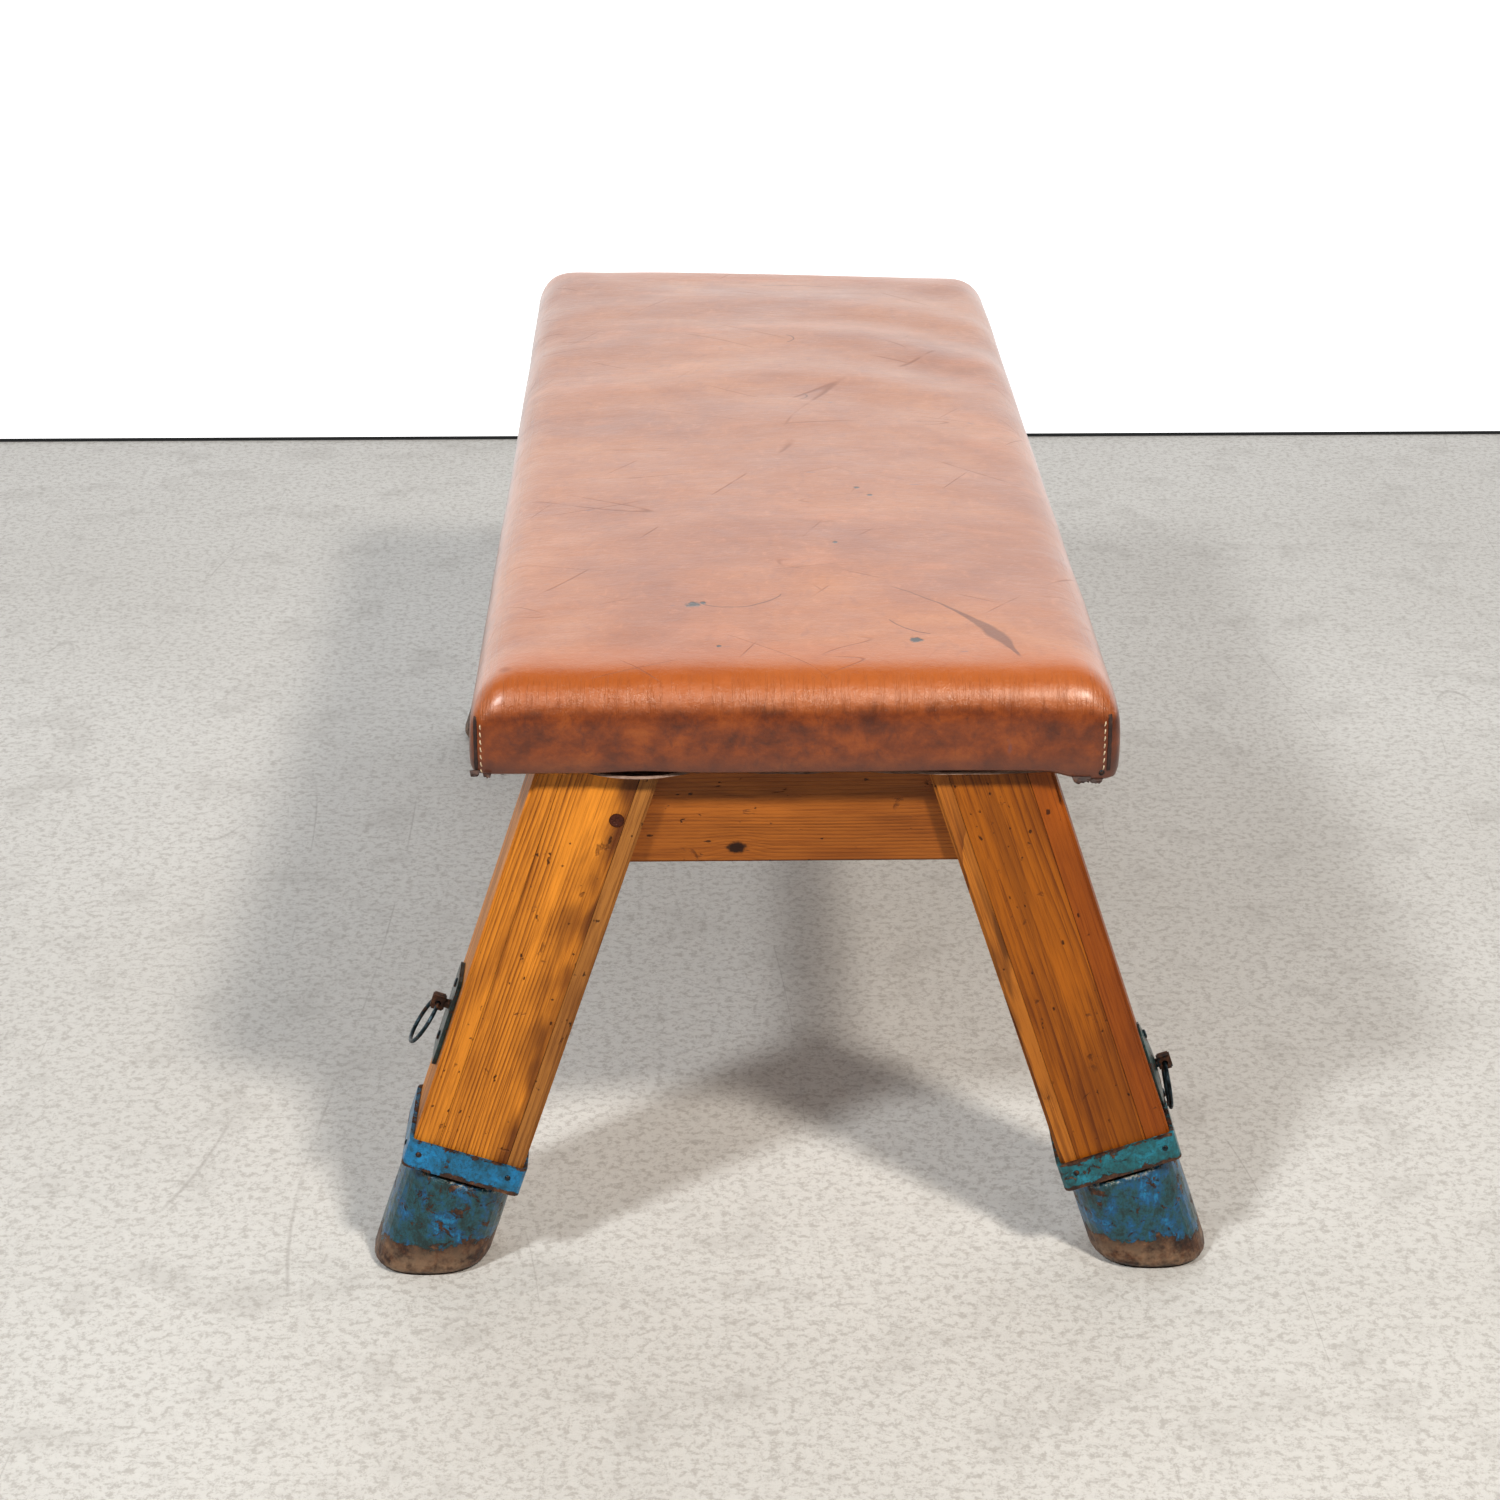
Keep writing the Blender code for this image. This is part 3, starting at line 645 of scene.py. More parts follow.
def cushion_grid(top):
    """The cover's top and four sides as one sheet, and the vertices of its lower edge."""
    nx = round(2 * HALF_WIDTH / CELL)
    ny = round(2 * HALF_LENGTH / CELL)
    nz = round((top - UNDERSIDE) / CELL)
    bm = bmesh.new()
    cache = {}

    def vert(i, j, k):
        key = (i, j, k)
        if key not in cache:
            x = HALF_WIDTH * (2 * i / nx - 1)
            y = HALF_LENGTH * (2 * j / ny - 1)
            z = UNDERSIDE + (top - UNDERSIDE) * k / nz
            cache[key] = bm.verts.new(rounded_box_point(x, y, z, top))
        return cache[key]

    for i in range(nx):
        for j in range(ny):
            bm.faces.new((vert(i, j, nz), vert(i + 1, j, nz), vert(i + 1, j + 1, nz), vert(i, j + 1, nz)))
    levels = [[(i, j, k) for i, j in rim_of(nx, ny)] for k in range(nz + 1)]
    for corners in round_rows(levels):
        bm.faces.new([vert(*corner) for corner in corners])
    return bm, [vert(*corner) for corner in levels[0]]


def add_hem(bm, rim):
    """Turn the bottom edge in, in two rows."""
    rows = [rim]
    for inset in (HEM / 2, HEM):
        scale_x, scale_y = 1 - inset / HALF_WIDTH, 1 - inset / HALF_LENGTH
        rows.append([bm.verts.new((v.co.x * scale_x, v.co.y * scale_y, v.co.z)) for v in rim])
    for corners in round_rows(rows):
        bm.faces.new(corners)


def swell(obj):
    """Blow the skin up gently by cloth simulation, then take on its shape, scaled down to a small rise.

    The planks and the stuffing hold the sides out, so no part of the skin moves inwards."""
    rest = [v.co.copy() for v in obj.data.vertices]
    group = obj.vertex_groups.new(name="held")
    for v in obj.data.vertices:
        if v.co.z < PINNED_BELOW:
            group.add([v.index], 1.0, "REPLACE")
    cloth = obj.modifiers.new("Cloth", "CLOTH")
    settings = cloth.settings
    settings.quality, settings.mass = 6, 0.4
    settings.tension_stiffness = settings.compression_stiffness = 12
    settings.shear_stiffness, settings.bending_stiffness = 6, 4
    settings.vertex_group_mass = group.name
    settings.use_pressure = True
    settings.uniform_pressure_force = PRESSURE
    settings.effector_weights.gravity = 0
    cloth.point_cache.frame_start, cloth.point_cache.frame_end = 1, CLOTH_FRAMES
    for step in range(1, CLOTH_FRAMES + 1):
        bpy.context.scene.frame_set(step)
    graph = bpy.context.evaluated_depsgraph_get()
    moved = [v.co.copy() for v in obj.evaluated_get(graph).data.vertices]
    obj.modifiers.remove(cloth)
    bpy.context.scene.frame_set(1)
    most = max((end - start).length for start, end in zip(rest, moved))
    scale = min(1.0, SWELL_RISE / most)
    for v, start, end in zip(obj.data.vertices, rest, moved):
        step = (end - start) * scale
        if step.x * start.x < 0:
            step.x = 0
        if step.y * start.y < 0:
            step.y = 0
        v.co = start + step


def ripple(co):
    """How far a point of the seat's top is raised by the hide's slack: broad soft waves."""
    x, y, _ = co
    bow = y + 0.35 * x * x / HALF_WIDTH + 0.02 * noise.noise(Vector((x * 5, y * 3, 1.7)))
    wave = math.sin(bow * math.tau / WAVE_LENGTH + 0.6)
    strength = 0.2 + 0.8 * share(y, -0.12, 0.23)
    broad = noise.noise(Vector((x * 4.0, y * 4.0, 4.2)))
    fine = noise.noise(Vector((x * 9.0, y * 22.0, 9.1)))
    return 0.0012 * strength * wave * (0.6 + broad) + 0.0011 * broad + 0.0007 * strength * fine


def fullness(x, y):
    """How much fuller the stuffing is than flat: a low crown, and more at the far left."""
    crown = 0.0035 * (1 - (x / HALF_WIDTH) ** 2) * (1 - (y / HALF_LENGTH) ** 4)
    return crown + 0.0075 * share(y, 0.0, 0.5) * share(-x, -0.16, 0.16)


def gather(co):
    """How far the skin draws in near a vertical corner, in short upright puckers."""
    along = max(HALF_WIDTH - abs(co.x), HALF_LENGTH - abs(co.y))
    fade = share(along, 0.06, 0.0) * share(SEAT_TOP - co.z, 0.0, 0.03)
    return 0.0006 * fade * math.sin(along * math.tau / PUCKER_LENGTH + noise.noise(co * 40) * 2)


def hem_height(x, y):
    """How far the hem's edge strays from a straight line: it droops at the near right corner."""
    droop = -0.0065 * share(x, 0.158, 0.176) * share(y, -0.47, -0.495)
    lift = 0.0012 * math.exp(-(((x + 0.097) / 0.022) ** 2)) * share(y, -0.47, -0.495)
    return droop + lift + 0.001 * noise.noise(Vector((x * 16, y * 16, 3.0)))


def work_surface(obj):
    """Waves on top, puckers at the corners and a hem that isn't quite straight."""
    normals = [v.normal.copy() for v in obj.data.vertices]
    for v, normal in zip(obj.data.vertices, normals):
        co = v.co.copy()
        v.co.z += ripple(co) * share(normal.z, 0.3, 0.8)
        v.co.z += fullness(co.x, co.y) * share(co.z, UNDERSIDE + 0.01, SEAT_TOP - 0.01)
        if normal.z < 0.6 and co.z > UNDERSIDE + 0.004:
            v.co -= normal * gather(co)
        v.co.z += share(co.z, UNDERSIDE + 0.016, UNDERSIDE) * hem_height(co.x, co.y)
        outward = Vector((normal.x, normal.y, 0))
        if co.z > UNDERSIDE + 0.001 and outward.length > 0.3:
            v.co += outward * 0.0011 * noise.noise(Vector((co.x * 9, co.y * 9, co.z * 20)))


def make_cushion(leather):
    """The leather cover, blown up by simulation, and the mesh that its padding is cut from."""
    bm, rim = cushion_grid(SEAT_TOP - SWELL_RISE)
    bmesh.ops.contextual_create(bm, geom=rim)
    skin = piece("leather_skin_work", bm, leather)
    swell(skin)
    work = bmesh.new()
    work.from_mesh(skin.data)
    bpy.data.objects.remove(skin, do_unlink=True)
    floor_faces = [f for f in work.faces if len(f.verts) > 4]
    bmesh.ops.delete(work, geom=floor_faces, context="FACES_ONLY")
    padding_source = work.copy()
    add_hem(work, ordered_rim(work))
    cover = piece("leather_cover_fitted", work, leather, smooth=60)
    work_surface(cover)
    smooth_mesh(cover)
    thick = cover.modifiers.new("thickness", "SOLIDIFY")
    thick.thickness = LEATHER
    thick.offset = -1
    thick.use_rim = True
    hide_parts("leather_cover")
    return cover, padding_source


def ordered_rim(bm):
    """The open edge's vertices, in order round the loop."""
    edges = [e for e in bm.edges if e.is_boundary]
    loop = list(edges[0].verts)
    used = {edges[0]}
    while True:
        following = [e for e in loop[-1].link_edges if e.is_boundary and e not in used]
        if not following:
            break
        used.add(following[0])
        vert = following[0].other_vert(loop[-1])
        if vert is loop[0]:
            break
        loop.append(vert)
    return loop


def smooth_mesh(obj):
    """One subdivision, applied, so the mesh itself is the rendered one."""
    sub = obj.modifiers.new("smooth", "SUBSURF")
    sub.levels = sub.render_levels = 1
    graph = bpy.context.evaluated_depsgraph_get()
    mesh = bpy.data.meshes.new_from_object(obj.evaluated_get(graph), depsgraph=graph)
    obj.modifiers.remove(sub)
    obj.data = mesh


def make_padding(bm, felt):
    """The felt pad: the cover's own inner shape, cut off flat on the planks."""
    base = PLANK_TOP + 0.0006
    low = [v for v in bm.verts if v.co.z < base + 0.003]
    bmesh.ops.delete(bm, geom=low, context="VERTS")
    bm.normal_update()
    inset = LEATHER + 0.0022
    for v in bm.verts:
        v.co -= v.normal * inset
    for v in ordered_rim(bm):
        v.co.z = base
    bmesh.ops.holes_fill(bm, edges=[e for e in bm.edges if e.is_boundary])
    pad = piece("padding_felt", bm, felt, smooth=60)
    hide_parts("padding")


# ---------------------------------------------------------------- stitches, tacks and nails


STITCHED_TOP, STITCHED_FOOT = 0.398, 0.369
STITCH_PITCH, STITCH_LENGTH, THREAD_RADIUS = 0.0048, 0.0034, 0.0005
SEAM_INSET = {-1: 0.0075, 1: 0.0105}
TACK_PITCH, TACK_RADIUS, TACK_HEIGHT, TACK_INSET, TACK_MARGIN = 0.042, 0.0027, 0.0011, 0.0062, 0.02
LOOSE_TACK_RADIUS, LOOSE_TACK_HEIGHT = 0.0019, 0.0009
NAIL_RADIUS, NAIL_HEIGHT = 0.002, 0.0011
SCREW_RADIUS, SCREW_HEIGHT, SLOT_HALF = 0.0031, 0.0013, 0.0007
# A left ring's foot swings below its latch's lower screw, so that screw stands higher
SCREW_INSET, RAISED_SCREW_INSET = 0.0085, 0.0145


def skin_tree(obj):
    """A tree that finds points on an object's outer skin."""
    return BVHTree.FromObject(obj, bpy.context.evaluated_depsgraph_get())


def onto_skin(tree, point, away):
    """The skin's point hit from outside along -away, and its normal."""
    hit, normal = tree.ray_cast(point + away * 0.05, -away)[:2]
    return (hit, normal) if hit else (point, away)


def frame_at(place, normal, along):
    """A matrix with Z along the normal and Y as near as can be to along."""
    z = normal.normalized()
    y = (along - along.dot(z) * z).normalized()
    turn = Matrix((y.cross(z), y, z)).transposed().to_4x4()
    return Matrix.Translation(place) @ turn


def add_stitch(bm, matrix, length, radius):
    """One stitch: a short thread that dives into the hide at both ends."""
    rings = []
    for i in range(7):
        t = i / 6
        middle = Vector((0, length * (t - 0.5), radius * (1.5 * math.sin(math.pi * t) - 0.9)))
        size = radius * (0.75 + 0.25 * math.sin(math.pi * t))
        spokes = [math.tau * k / 8 for k in range(8)]
        rings.append([matrix @ (middle + Vector((math.cos(a), 0, math.sin(a))) * size) for a in spokes])
    loft(bm, rings)


def add_dome(bm, matrix, radius, height):
    """A nail's or a tack's head, with a shank that reaches into what it holds."""
    profile = [(radius * 0.35, -2.0 * height), (radius * 0.35, -0.1 * height), (radius, -0.1 * height)]
    for i in range(4):
        turn = math.radians(80) * i / 3
        profile.append((radius * math.cos(turn), height * math.sin(turn)))
    loft(bm, turned(matrix, profile, 14))


def add_strip(bm, matrices, half_width, thickness, seed):
    """A ragged strip of hide that follows a row of frames."""
    rings = []
    for i, matrix in enumerate(matrices):
        ragged = 1 + 0.35 * noise.noise(Vector((i * 0.9, seed, 0)))
        wide, tall = half_width * ragged, thickness * (0.6 if i in (0, len(matrices) - 1) else 1)
        section = ((-wide, -0.4), (-wide * 0.9, 0.8), (0, 1.0), (wide * 0.9, 0.8), (wide, -0.4), (0, -0.6))
        rings.append([matrix @ Vector((x, 0, z * tall)) for x, z in section])
    loft(bm, rings)


def add_flake(bm, place, wide, tall, facing, seed):
    """A torn, curled bit of hide that hangs from place."""
    columns, rows, thick, curl = 6, 5, 0.0011, 0.0015
    across = Z.cross(facing).normalized()
    layers = []
    for side in (0, 1):
        grid = []
        for i in range(columns + 1):
            u = i / columns - 0.5
            reach = tall * (0.75 + 0.5 * noise.noise(Vector((i * 1.3, seed, 0.5)))) * (1 - abs(u) * 0.6)
            row = []
            for k in range(rows + 1):
                v = k / rows
                bend = curl * math.sin(v * 2.2) * (1 + noise.noise(Vector((u * 3, v * 3, seed))))
                point = place + across * (u * wide * (1 - 0.25 * v)) - Z * (v * reach)
                row.append(bm.verts.new(point + facing * (bend + thick * side)))
            grid.append(row)
        layers.append(grid)
    for grid in layers:
        for i in range(columns):
            for k in range(rows):
                bm.faces.new((grid[i][k], grid[i + 1][k], grid[i + 1][k + 1], grid[i][k + 1]))
    for corners in round_rows([[grid[i][k] for i, k in rim_of(columns, rows)] for grid in layers]):
        bm.faces.new(corners)


def corner_seams(tree):
    """The hand-sewn corners: a row of stitches and the hide's dark edge beside it."""
    stitches, edges = bmesh.new(), bmesh.new()
    draw = random.Random(11)
    for end in (-1, 1):
        away = Y * end
        for side in (-1, 1):
            x = side * (HALF_WIDTH - SEAM_INSET[side])
            count = int((STITCHED_TOP - STITCHED_FOOT) / STITCH_PITCH)
            for i in range(count + 1):
                z = STITCHED_FOOT + i * STITCH_PITCH
                place, normal = onto_skin(tree, Vector((x, end * HALF_LENGTH, z)), away)
                slant = Vector((draw.uniform(0.1, 0.35) * side, 0, 1))
                add_stitch(stitches, frame_at(place, normal, slant), STITCH_LENGTH, THREAD_RADIUS)
            row = []
            for i in range(15):
                z = UNDERSIDE + 0.001 + (STITCHED_TOP + 0.004 - UNDERSIDE) * i / 14
                spot = Vector((x + side * 0.003, end * HALF_LENGTH, z))
                place, normal = onto_skin(tree, spot, away)
                row.append(frame_at(place, normal, Z))
            add_strip(edges, row, 0.0013, 0.0009, side + 3 * end)
    piece("corner_stitches", stitches, thread_material())
    return edges


def torn_corners(edges):
    """The dark torn bits at the two near corners, in one piece with the seams' dark edges."""
    flakes = (
        (-0.1965, -0.503, 0.3695, 0.0065, 0.0052), (-0.189, -0.5046, 0.368, 0.005, 0.003),
        (0.176, -0.504, 0.363, 0.012, 0.0054), (0.185, -0.503, 0.3612, 0.009, 0.004),
    )
    for i, (x, y, z, wide, tall) in enumerate(flakes):
        add_flake(edges, Vector((x, y, z)), wide, tall, -Y, i + 1.0)
    piece("hide_edges", edges, edge_material())


def hem_lips(flesh):
    """Where the turned hem sags open below the cover, its pale inner side shows."""
    bm = bmesh.new()
    for left, right, sag in ((-0.128, -0.064, 0.0042), (-0.03, 0.022, 0.0016), (0.04, 0.172, 0.0026)):
        rings = []
        for i in range(25):
            t = i / 24
            x = left + (right - left) * t
            depth = sag * math.sin(math.pi * t) ** 0.8 + 0.0006 * noise.noise(Vector((x * 60, 0, sag)))
            low = UNDERSIDE - 0.0002 - depth
            section = (
                (-0.5, low + 0.0016), (-0.5008, low), (-0.496, low - 0.0004),
                (-0.488, UNDERSIDE - 0.0005), (-0.488, UNDERSIDE + 0.0004), (-0.4958, low + 0.0012),
            )
            rings.append([Vector((x, y, z)) for y, z in section])
        loft(bm, rings)
    piece("hem_lips", bm, flesh)


def hem_tacks(tree, steel):
    """Domed tacks along the turned hem, all the way round the underside, and a loose one in front."""
    bm = bmesh.new()
    for half, other, flip in ((HALF_LENGTH, HALF_WIDTH, False), (HALF_WIDTH, HALF_LENGTH, True)):
        reach = half - TACK_MARGIN
        count = round(2 * reach / TACK_PITCH)
        for i in range(count + 1):
            along = -reach + 2 * reach * i / count
            for across in (TACK_INSET - other, other - TACK_INSET):
                x, y = (along, across) if flip else (across, along)
                place, _ = onto_skin(tree, Vector((x, y, UNDERSIDE)), -Z)
                add_dome(bm, frame_at(place, -Z, X), TACK_RADIUS, TACK_HEIGHT)
    spot, normal = onto_skin(tree, Vector((0.1885, -HALF_LENGTH, 0.3655)), -Y)
    add_dome(bm, frame_at(spot, normal, Z), LOOSE_TACK_RADIUS, LOOSE_TACK_HEIGHT)
    piece("hem_tacks", bm, steel)


def leg_nails(leg, steel):
    """Nails that hold the collar: two on each end face and one on each side."""
    matrix = leg_placement(leg)
    low, high = leg_reach(f"{leg}_collar", matrix)
    height = (low.z + high.z) / 2
    bm = bmesh.new()
    spots = []
    for end in (-1, 1):
        for x, rise in ((-0.029, 0.002), (0.031, 0.001)):
            spots.append(((x, end * high.y, height + rise), Y * end))
    for side in (-1, 1):
        spots.append(((side * high.x, 0.021, height - 0.002), X * side))
    for place, normal in spots:
        add_dome(bm, matrix @ frame_at(Vector(place), normal, Z), NAIL_RADIUS, NAIL_HEIGHT)
    piece(f"{leg}_collar_nails", bm, steel)


def add_slotted_head(bm, matrix):
    """A screw head: a low dome in two halves with a slot between, on a thin disc."""
    radius, height, slot = SCREW_RADIUS, SCREW_HEIGHT, SLOT_HALF
    profile = ((radius * 0.4, -2 * height), (radius, -0.3 * height), (radius, 0.25 * height))
    loft(bm, turned(matrix, profile, 20))
    start = math.asin(slot / radius)
    for side in (0, math.pi):
        arc = [side + start + (math.pi - 2 * start) * k / 10 for k in range(11)]
        rings = []
        for r, z in ((1.0, 0.2), (1.0, 0.55), (0.86, 0.85), (0.6, 1.0)):
            ring = []
            for a in arc:
                x, y = radius * math.cos(a), radius * math.sin(a) * r
                edge = slot * (1 if side == 0 else -1)
                y = max(y, edge) if side == 0 else min(y, edge)
                ring.append(matrix @ Vector((x * r, y, z * height)))
            rings.append(ring)
        loft(bm, rings)


def latch_screws(leg, steel):
    """Two slotted screws that hold the latch's plate."""
    matrix = leg_placement(leg)
    plate = f"{leg}_latch_plate"
    low, high = leg_reach(plate, matrix)
    draw = random.Random(len(leg))
    bm = bmesh.new()
    tree = skin_tree(NODES[plate])
    turning = matrix.to_3x3()
    outward = (turning @ X).normalized()
    for z in (low.z + (SCREW_INSET if on_right(leg) else RAISED_SCREW_INSET), high.z - SCREW_INSET):
        place, _ = onto_skin(tree, matrix @ Vector((0.04, 0, z)), outward)
        slot = turning @ Vector((0, math.cos(draw.uniform(0, 3)), math.sin(draw.uniform(0, 3))))
        add_slotted_head(bm, frame_at(place, outward, slot))
    piece(f"{leg}_latch_screws", bm, steel)


def make_springs(steel):
    """Each latch's coil spring, which the bolt's flange squeezes against the plate."""
    for leg in LEGS:
        node = NODES[f"{leg}_latch_spring"]
        bm = bmesh.new()
        bm.from_mesh(node.data)
        bm.transform(node.matrix_world)
        coil = piece(f"{leg}_coil_spring", bm, steel)
        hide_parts(f"{leg}_latch_spring")
        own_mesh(coil)


def make_details(cover):
    """Everything small: stitches, torn edges, tacks, nails, screws and springs."""
    tree = skin_tree(cover)
    torn_corners(corner_seams(tree))
    hem_lips(flesh_material())
    steel = rusty_steel("rust_nails", 21.0, 0.6)
    hem_tacks(tree, steel)
    for leg in LEGS:
        leg_nails(leg, steel)
        latch_screws(leg, steel)
    make_springs(spring_steel())


# ---------------------------------------------------------------- stage, light and camera


def floor_material():
    """Pale, worn concrete with a rough trowelled skin and a few long scratches."""
    s = Shader("pale_floor", roughness=0.6)
    cloud = s.noise(s.where, 1.6, 4, 0.6)
    colour = s.ramp(cloud, [(0.3, (0.66, 0.645, 0.62)), (0.7, (0.75, 0.74, 0.72))])
    grit = s.noise(s.where, 150, 6, 0.8, 0.2)
    colour = s.stained(colour, (0.36, 0.33, 0.305), s.rise(grit, 0.47, 0.6), 0.5)
    patches = s.noise(s.where, 13, 5, 0.65)
    colour = s.stained(colour, (0.38, 0.355, 0.33), s.rise(patches, 0.5, 0.68), 0.26)
    drawn_out = s.placed(rotation=(0, 0, 0.9), scale=(1, 0.12, 1))
    scratch = s.ridge(s.noise(drawn_out, 4.5, 1.0, 0.3), 0.0016)
    broken = s.times(scratch, s.rise(s.noise(s.where, 7, 3), 0.48, 0.6))
    colour = s.stained(colour, (0.3, 0.27, 0.25), broken, 0.35)
    s.bump(grit, 0.001)
    return s.done(colour)


def stage_sheet(name, corners, material):
    """A flat four-cornered part of the stage."""
    mesh = bpy.data.meshes.new(name)
    mesh.from_pydata(corners, [], [(0, 1, 2, 3)])
    mesh.materials.append(material)
    put_in_scene(name, mesh)


WALL_Y = 1.392
WALL_HEIGHT = 3.6
# The painted shade line along the wall's foot: its height, and how faintly it glows
SHADE_LINE_HEIGHT = 0.004
WALL_GLOW = 1.28
WALL_SPILL = 0.8
SHADE_LINE_GLOW = 0.03
STAGE_HALF = 6.0


def glowing(name, strength, spill):
    """A white surface so brightly lit that it glows, though it spills less on what stands before it.

    It isn't there when seen from its back."""
    s = Shader(name)
    spilled = s.add("ShaderNodeLightPath")["Is Diffuse Ray"]
    seen = s.times_plus(spilled, spill - strength, strength)
    glow = s.add("ShaderNodeEmission", {"Color": (1.0, 1.0, 1.0, 1), "Strength": seen})[0]
    nothing = s.add("ShaderNodeBsdfTransparent")[0]
    back = s.add("ShaderNodeNewGeometry")["Backfacing"]
    either = s.add("ShaderNodeMixShader", (back, glow, nothing))[0]
    s.feed(s.tree.nodes["Material Output"].inputs["Surface"], either)
    return s.material


def upright(low, high):
    """The corners of a strip of the wall."""
    half = STAGE_HALF
    return [(-half, WALL_Y, low), (half, WALL_Y, low), (half, WALL_Y, high), (-half, WALL_Y, high)]


def make_stage():
    """A pale floor, a white wall behind the object, and a dark strip of painted shade along the wall's foot."""
    half = STAGE_HALF
    floor = [(-half, -half, 0), (half, -half, 0), (half, half, 0), (-half, half, 0)]
    stage_sheet("floor", floor, floor_material())
    # Painted shade: a nearly black strip where the wall meets the floor
    stage_sheet("wall_shade_line", upright(0, SHADE_LINE_HEIGHT), glowing("painted_shade_line", SHADE_LINE_GLOW, SHADE_LINE_GLOW))
    stage_sheet("wall", upright(SHADE_LINE_HEIGHT, WALL_HEIGHT), glowing("bright_wall", WALL_GLOW, WALL_SPILL))


LIGHT_SIZE = 0.34
LIGHT_TARGET = Vector((0, -0.1, 0.2))
WORLD_GLOW = 0.03


def soft_box(name, place, radiance, colour):
    """A square light, aimed at the object, whose face has the given radiance."""
    data = bpy.data.lights.new(name, "AREA")
    data.shape = "RECTANGLE"
    data.size = data.size_y = LIGHT_SIZE
    data.energy = radiance * math.pi * LIGHT_SIZE**2
    data.color = colour
    obj = put_in_scene(name, data)
    obj.location = place
    obj.rotation_euler = (LIGHT_TARGET - Vector(place)).to_track_quat("-Z", "Y").to_euler()


def make_lights():
    """Two soft boxes above the camera. The glowing wall gives the sheen on the seat."""
    world = bpy.data.worlds.new("studio")
    bpy.context.scene.world = world
    world.use_nodes = True
    background = world.node_tree.nodes["Background"]
    background.inputs["Color"].default_value = (0.96, 0.98, 1.0, 1)
    background.inputs["Strength"].default_value = WORLD_GLOW
    soft_box("left_box", (-1.42, -2.22, 2.5), 140, (0.97, 1.0, 1.0))
    soft_box("right_box", (1.06, -2.25, 2.5), 172, (1.0, 0.93, 0.83))


CAMERA_PLACE = (-0.059, -2.2682, 1.1212)
CAMERA_PITCH = 22.732
CAMERA_YAW = 1.011
CAMERA_LENS = 75.0


def make_camera():
    """A long lens, a little above the seat, looking down along it."""
    data = bpy.data.cameras.new("camera")
    data.lens = CAMERA_LENS
    data.sensor_width = 36
    obj = put_in_scene("camera", data)
    obj.location = CAMERA_PLACE
    obj.rotation_euler = (math.radians(90 - CAMERA_PITCH), 0, math.radians(-CAMERA_YAW))
    bpy.context.scene.camera = obj


# ---------------------------------------------------------------- putting it together


# Pale wood, dark grain line and stain
HONEY = ((0.7, 0.262, 0.028), (0.13, 0.028, 0.003), (0.09, 0.022, 0.005))
HONEY_PALE = ((0.41, 0.175, 0.04), (0.12, 0.034, 0.007), (0.08, 0.022, 0.006))
AMBER = ((0.375, 0.116, 0.006), (0.105, 0.022, 0.003), (0.075, 0.017, 0.004))
AMBER_RED = ((0.32, 0.084, 0.006), (0.15, 0.03, 0.004), (0.07, 0.014, 0.004))
AMBER_FIGURED = ((0.46, 0.165, 0.022), (0.11, 0.024, 0.004), (0.045, 0.012, 0.004))
RAIL_TONES = ((0.36, 0.118, 0.017), (0.18, 0.046, 0.006), (0.085, 0.022, 0.006))
BARE_TONES = ((0.52, 0.34, 0.17), (0.3, 0.165, 0.075), (0.19, 0.105, 0.055))


# Each board's tones, growth lines a metre, figure, stain and contrast
LEFT_BOARDS = {
    "end_board": (HONEY, 360, 0.35, 0.22, 0.95),
    "outer_board": (HONEY, 330, 0.25, 0.2, 0.8),
    "inner_board": (HONEY_PALE, 420, 0.3, 0.35, 0.7),
    "middle_board": (HONEY, 130, 0.6, 0.3, 0.8),
}
RIGHT_BOARDS = {
    "end_board": (AMBER, 260, 0.35, 0.3, 0.75),
    "outer_board": (AMBER_RED, 300, 0.25, 0.2, 0.6),
    "inner_board": (AMBER_FIGURED, 110, 1.6, 0.7, 0.9),
    "middle_board": (AMBER, 100, 0.6, 0.3, 0.8),
}
LEFT_SOAK = (0.006, -0.024)
PLANED = 0.03


def make_wooden(node, matrix, tones, seed, *grain, **looks):
    """Finish a node in pine of its own."""
    finish_node(node, pine(f"pine_{node}", matrix, tones, seed, *grain, **looks))


def finish_legs():
    """Each leg's boards and the bare extension inside them."""
    for i, leg in enumerate(LEGS):
        matrix = leg_placement(leg)
        boards = RIGHT_BOARDS if on_right(leg) else LEFT_BOARDS
        for k, (board, (tones, *grain)) in enumerate(boards.items()):
            soaked = LEFT_SOAK if board == "end_board" and not on_right(leg) else None
            make_wooden(f"{leg}_{board}", matrix, tones, i * 4 + k + 1.0, *grain, soaked=soaked)
        make_wooden(f"{leg}_extension", matrix, BARE_TONES, i + 20.0, varnish=PLANED)


def finish_rails():
    """The end rails' grain runs across the seat. The side rails' and the planks' runs along it."""
    along_x = Euler((0, math.pi / 2, 0)).to_matrix().to_4x4()
    along_y = Euler((math.pi / 2, 0, 0)).to_matrix().to_4x4()
    for i, node in enumerate(("near_end_rail", "far_end_rail")):
        low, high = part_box(node)
        middle = (low + high) / 2
        face = low.y if i == 0 else high.y
        knot = (middle.z - 0.305, face - middle.y, -0.036 - middle.x, 0.0042)
        matrix = Matrix.Translation(middle) @ along_x
        make_wooden(node, matrix, RAIL_TONES, 31.0 + i, 420, 0.25, 0.3, 0.5, knots=(knot,))
    for i, node in enumerate(("left_side_rail", "right_side_rail")):
        make_wooden(node, along_y, RAIL_TONES, 35.0 + i)
    for i, side in enumerate(("left", "middle", "right")):
        make_wooden(f"seat_plank_{side}", along_y, BARE_TONES, 41.0 + i, varnish=PLANED)


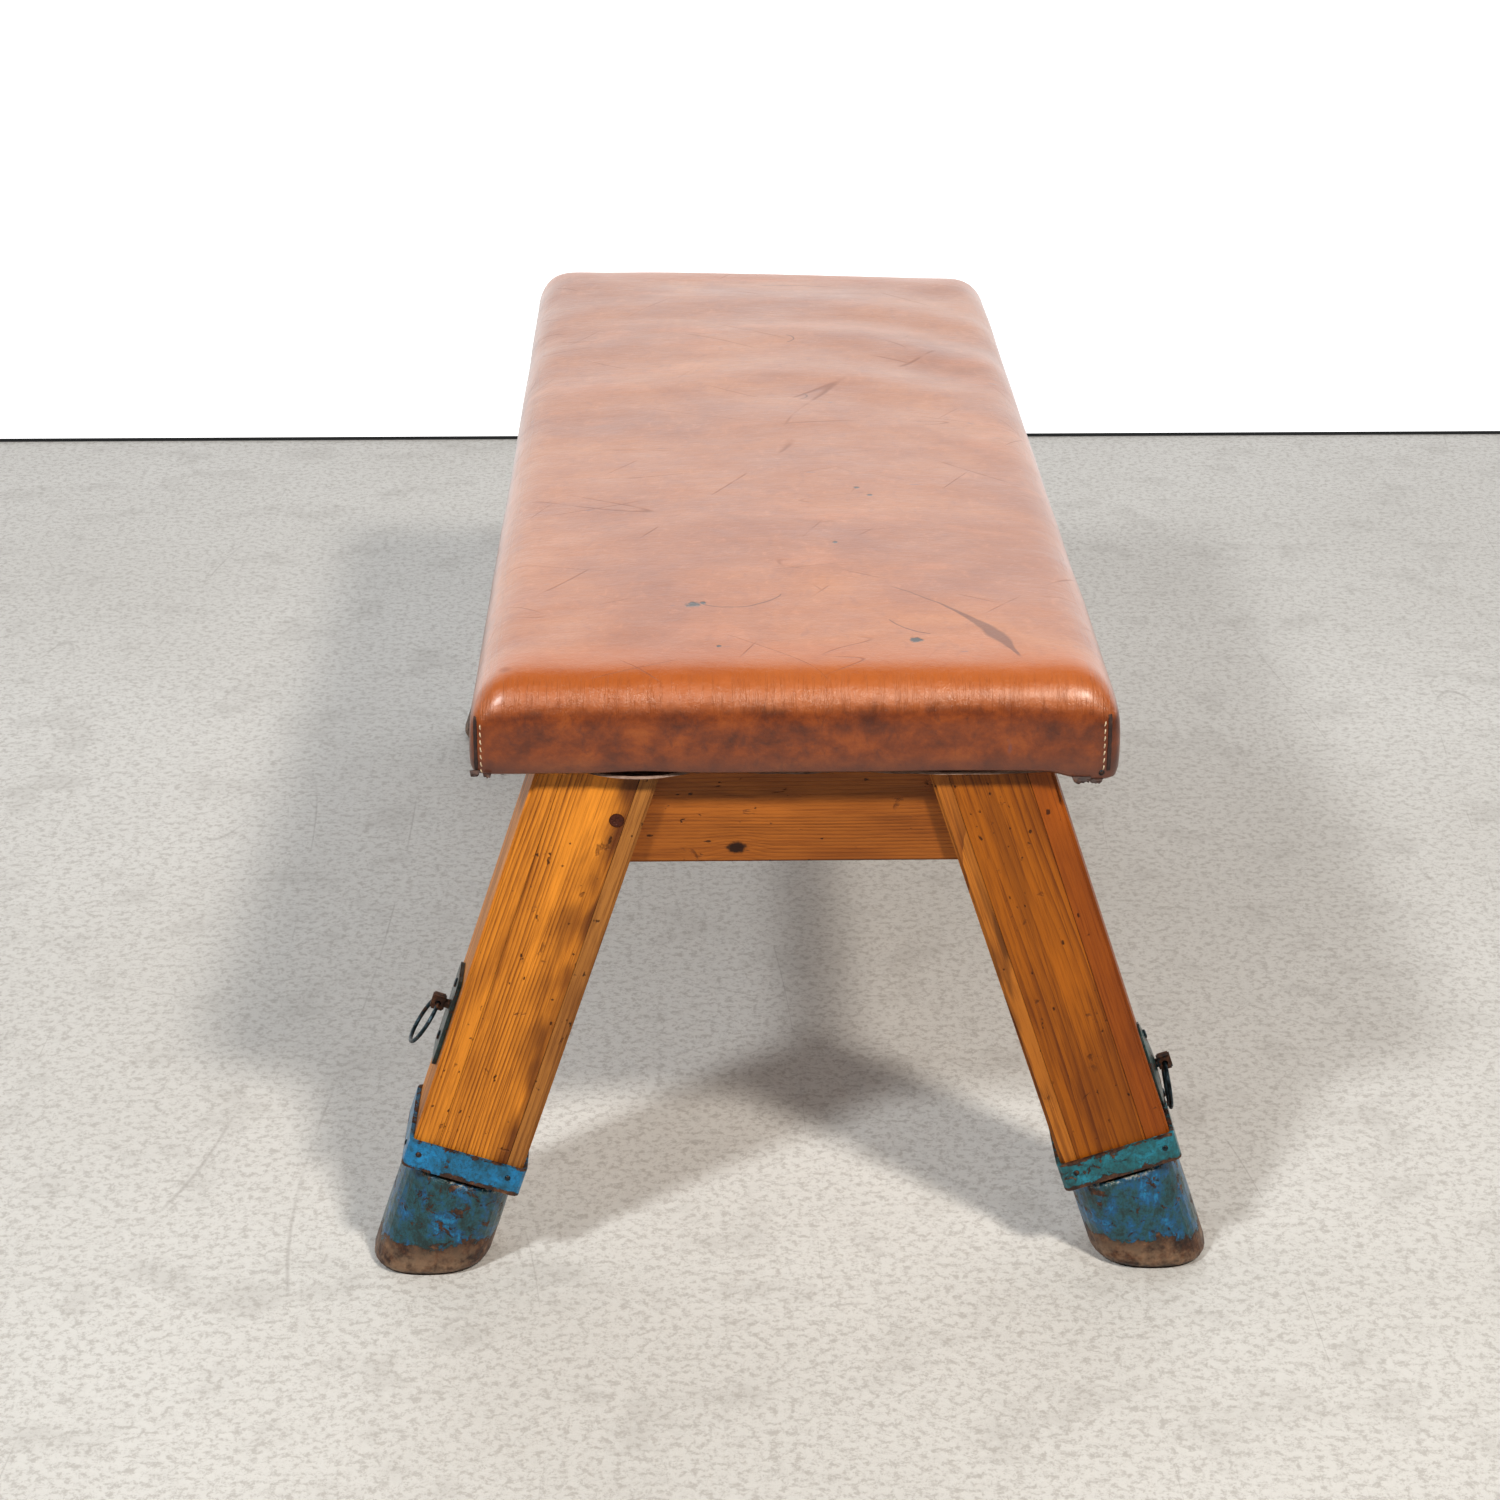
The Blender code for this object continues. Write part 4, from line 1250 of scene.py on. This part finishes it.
# From the dullest shade to the brightest
BLUE_PAINT = ((0.004, 0.06, 0.1), (0.003, 0.14, 0.27), (0.002, 0.185, 0.4), (0.006, 0.25, 0.52))
TEAL_PAINT = ((0.006, 0.044, 0.05), (0.006, 0.11, 0.13), (0.006, 0.16, 0.21), (0.01, 0.24, 0.35))
SHOE_PAINT = ((0.01, 0.034, 0.036), (0.012, 0.088, 0.11), (0.004, 0.095, 0.23), (0.01, 0.24, 0.44))
DARK_PAINT = ((0.008, 0.014, 0.014), (0.012, 0.03, 0.03), (0.018, 0.06, 0.06), (0.04, 0.11, 0.11))


def finish_iron():
    """Each leg's collar, shoe and latch, and the plug in a left leg's board."""
    for i, leg in enumerate(LEGS):
        matrix = leg_placement(leg)
        edges = [end.z for end in leg_reach(f"{leg}_collar", matrix)]
        paints, chips = (TEAL_PAINT, 0.3) if on_right(leg) else (BLUE_PAINT, 0.14)
        collar = painted_iron(f"enamel_{leg}_collar", paints, chips, i + 1.0, edges=edges, matrix=matrix)
        finish_node(f"{leg}_collar", collar)
        looks = dict(sole=(0.006, 0.032), rim_wear_and_highlight=leg_reach(f"{leg}_shoe", matrix)[1].z, matrix=matrix)
        finish_node(f"{leg}_shoe", painted_iron(f"enamel_{leg}_shoe", SHOE_PAINT, 0.3, i + 7.0, **looks))
        finish_node(f"{leg}_latch_plate", painted_iron(f"enamel_{leg}_plate", DARK_PAINT, 0.3, i + 12.0))
        finish_node(f"{leg}_latch_bolt", rusty_steel(f"rust_{leg}_bolt", i + 1.0, 0.85))
        finish_node(f"{leg}_pull_ring", rusty_steel(f"rust_{leg}_ring", i + 5.0, 0.35))
        if not on_right(leg):
            plug = pine(f"plug_{leg}", matrix, (AMBER_RED[2],) * 3, i + 50.0)
            finish_node(f"{leg}_wooden_plug", plug)


def main():
    bpy.context.scene.view_settings.view_transform = "Standard"
    bpy.context.scene.view_settings.look = "Medium High Contrast"
    make_camera()
    make_stage()
    make_lights()
    cover, padding_source = make_cushion(leather_material())
    make_padding(padding_source, felt_material())
    make_details(cover)
    finish_legs()
    finish_rails()
    finish_iron()


main()
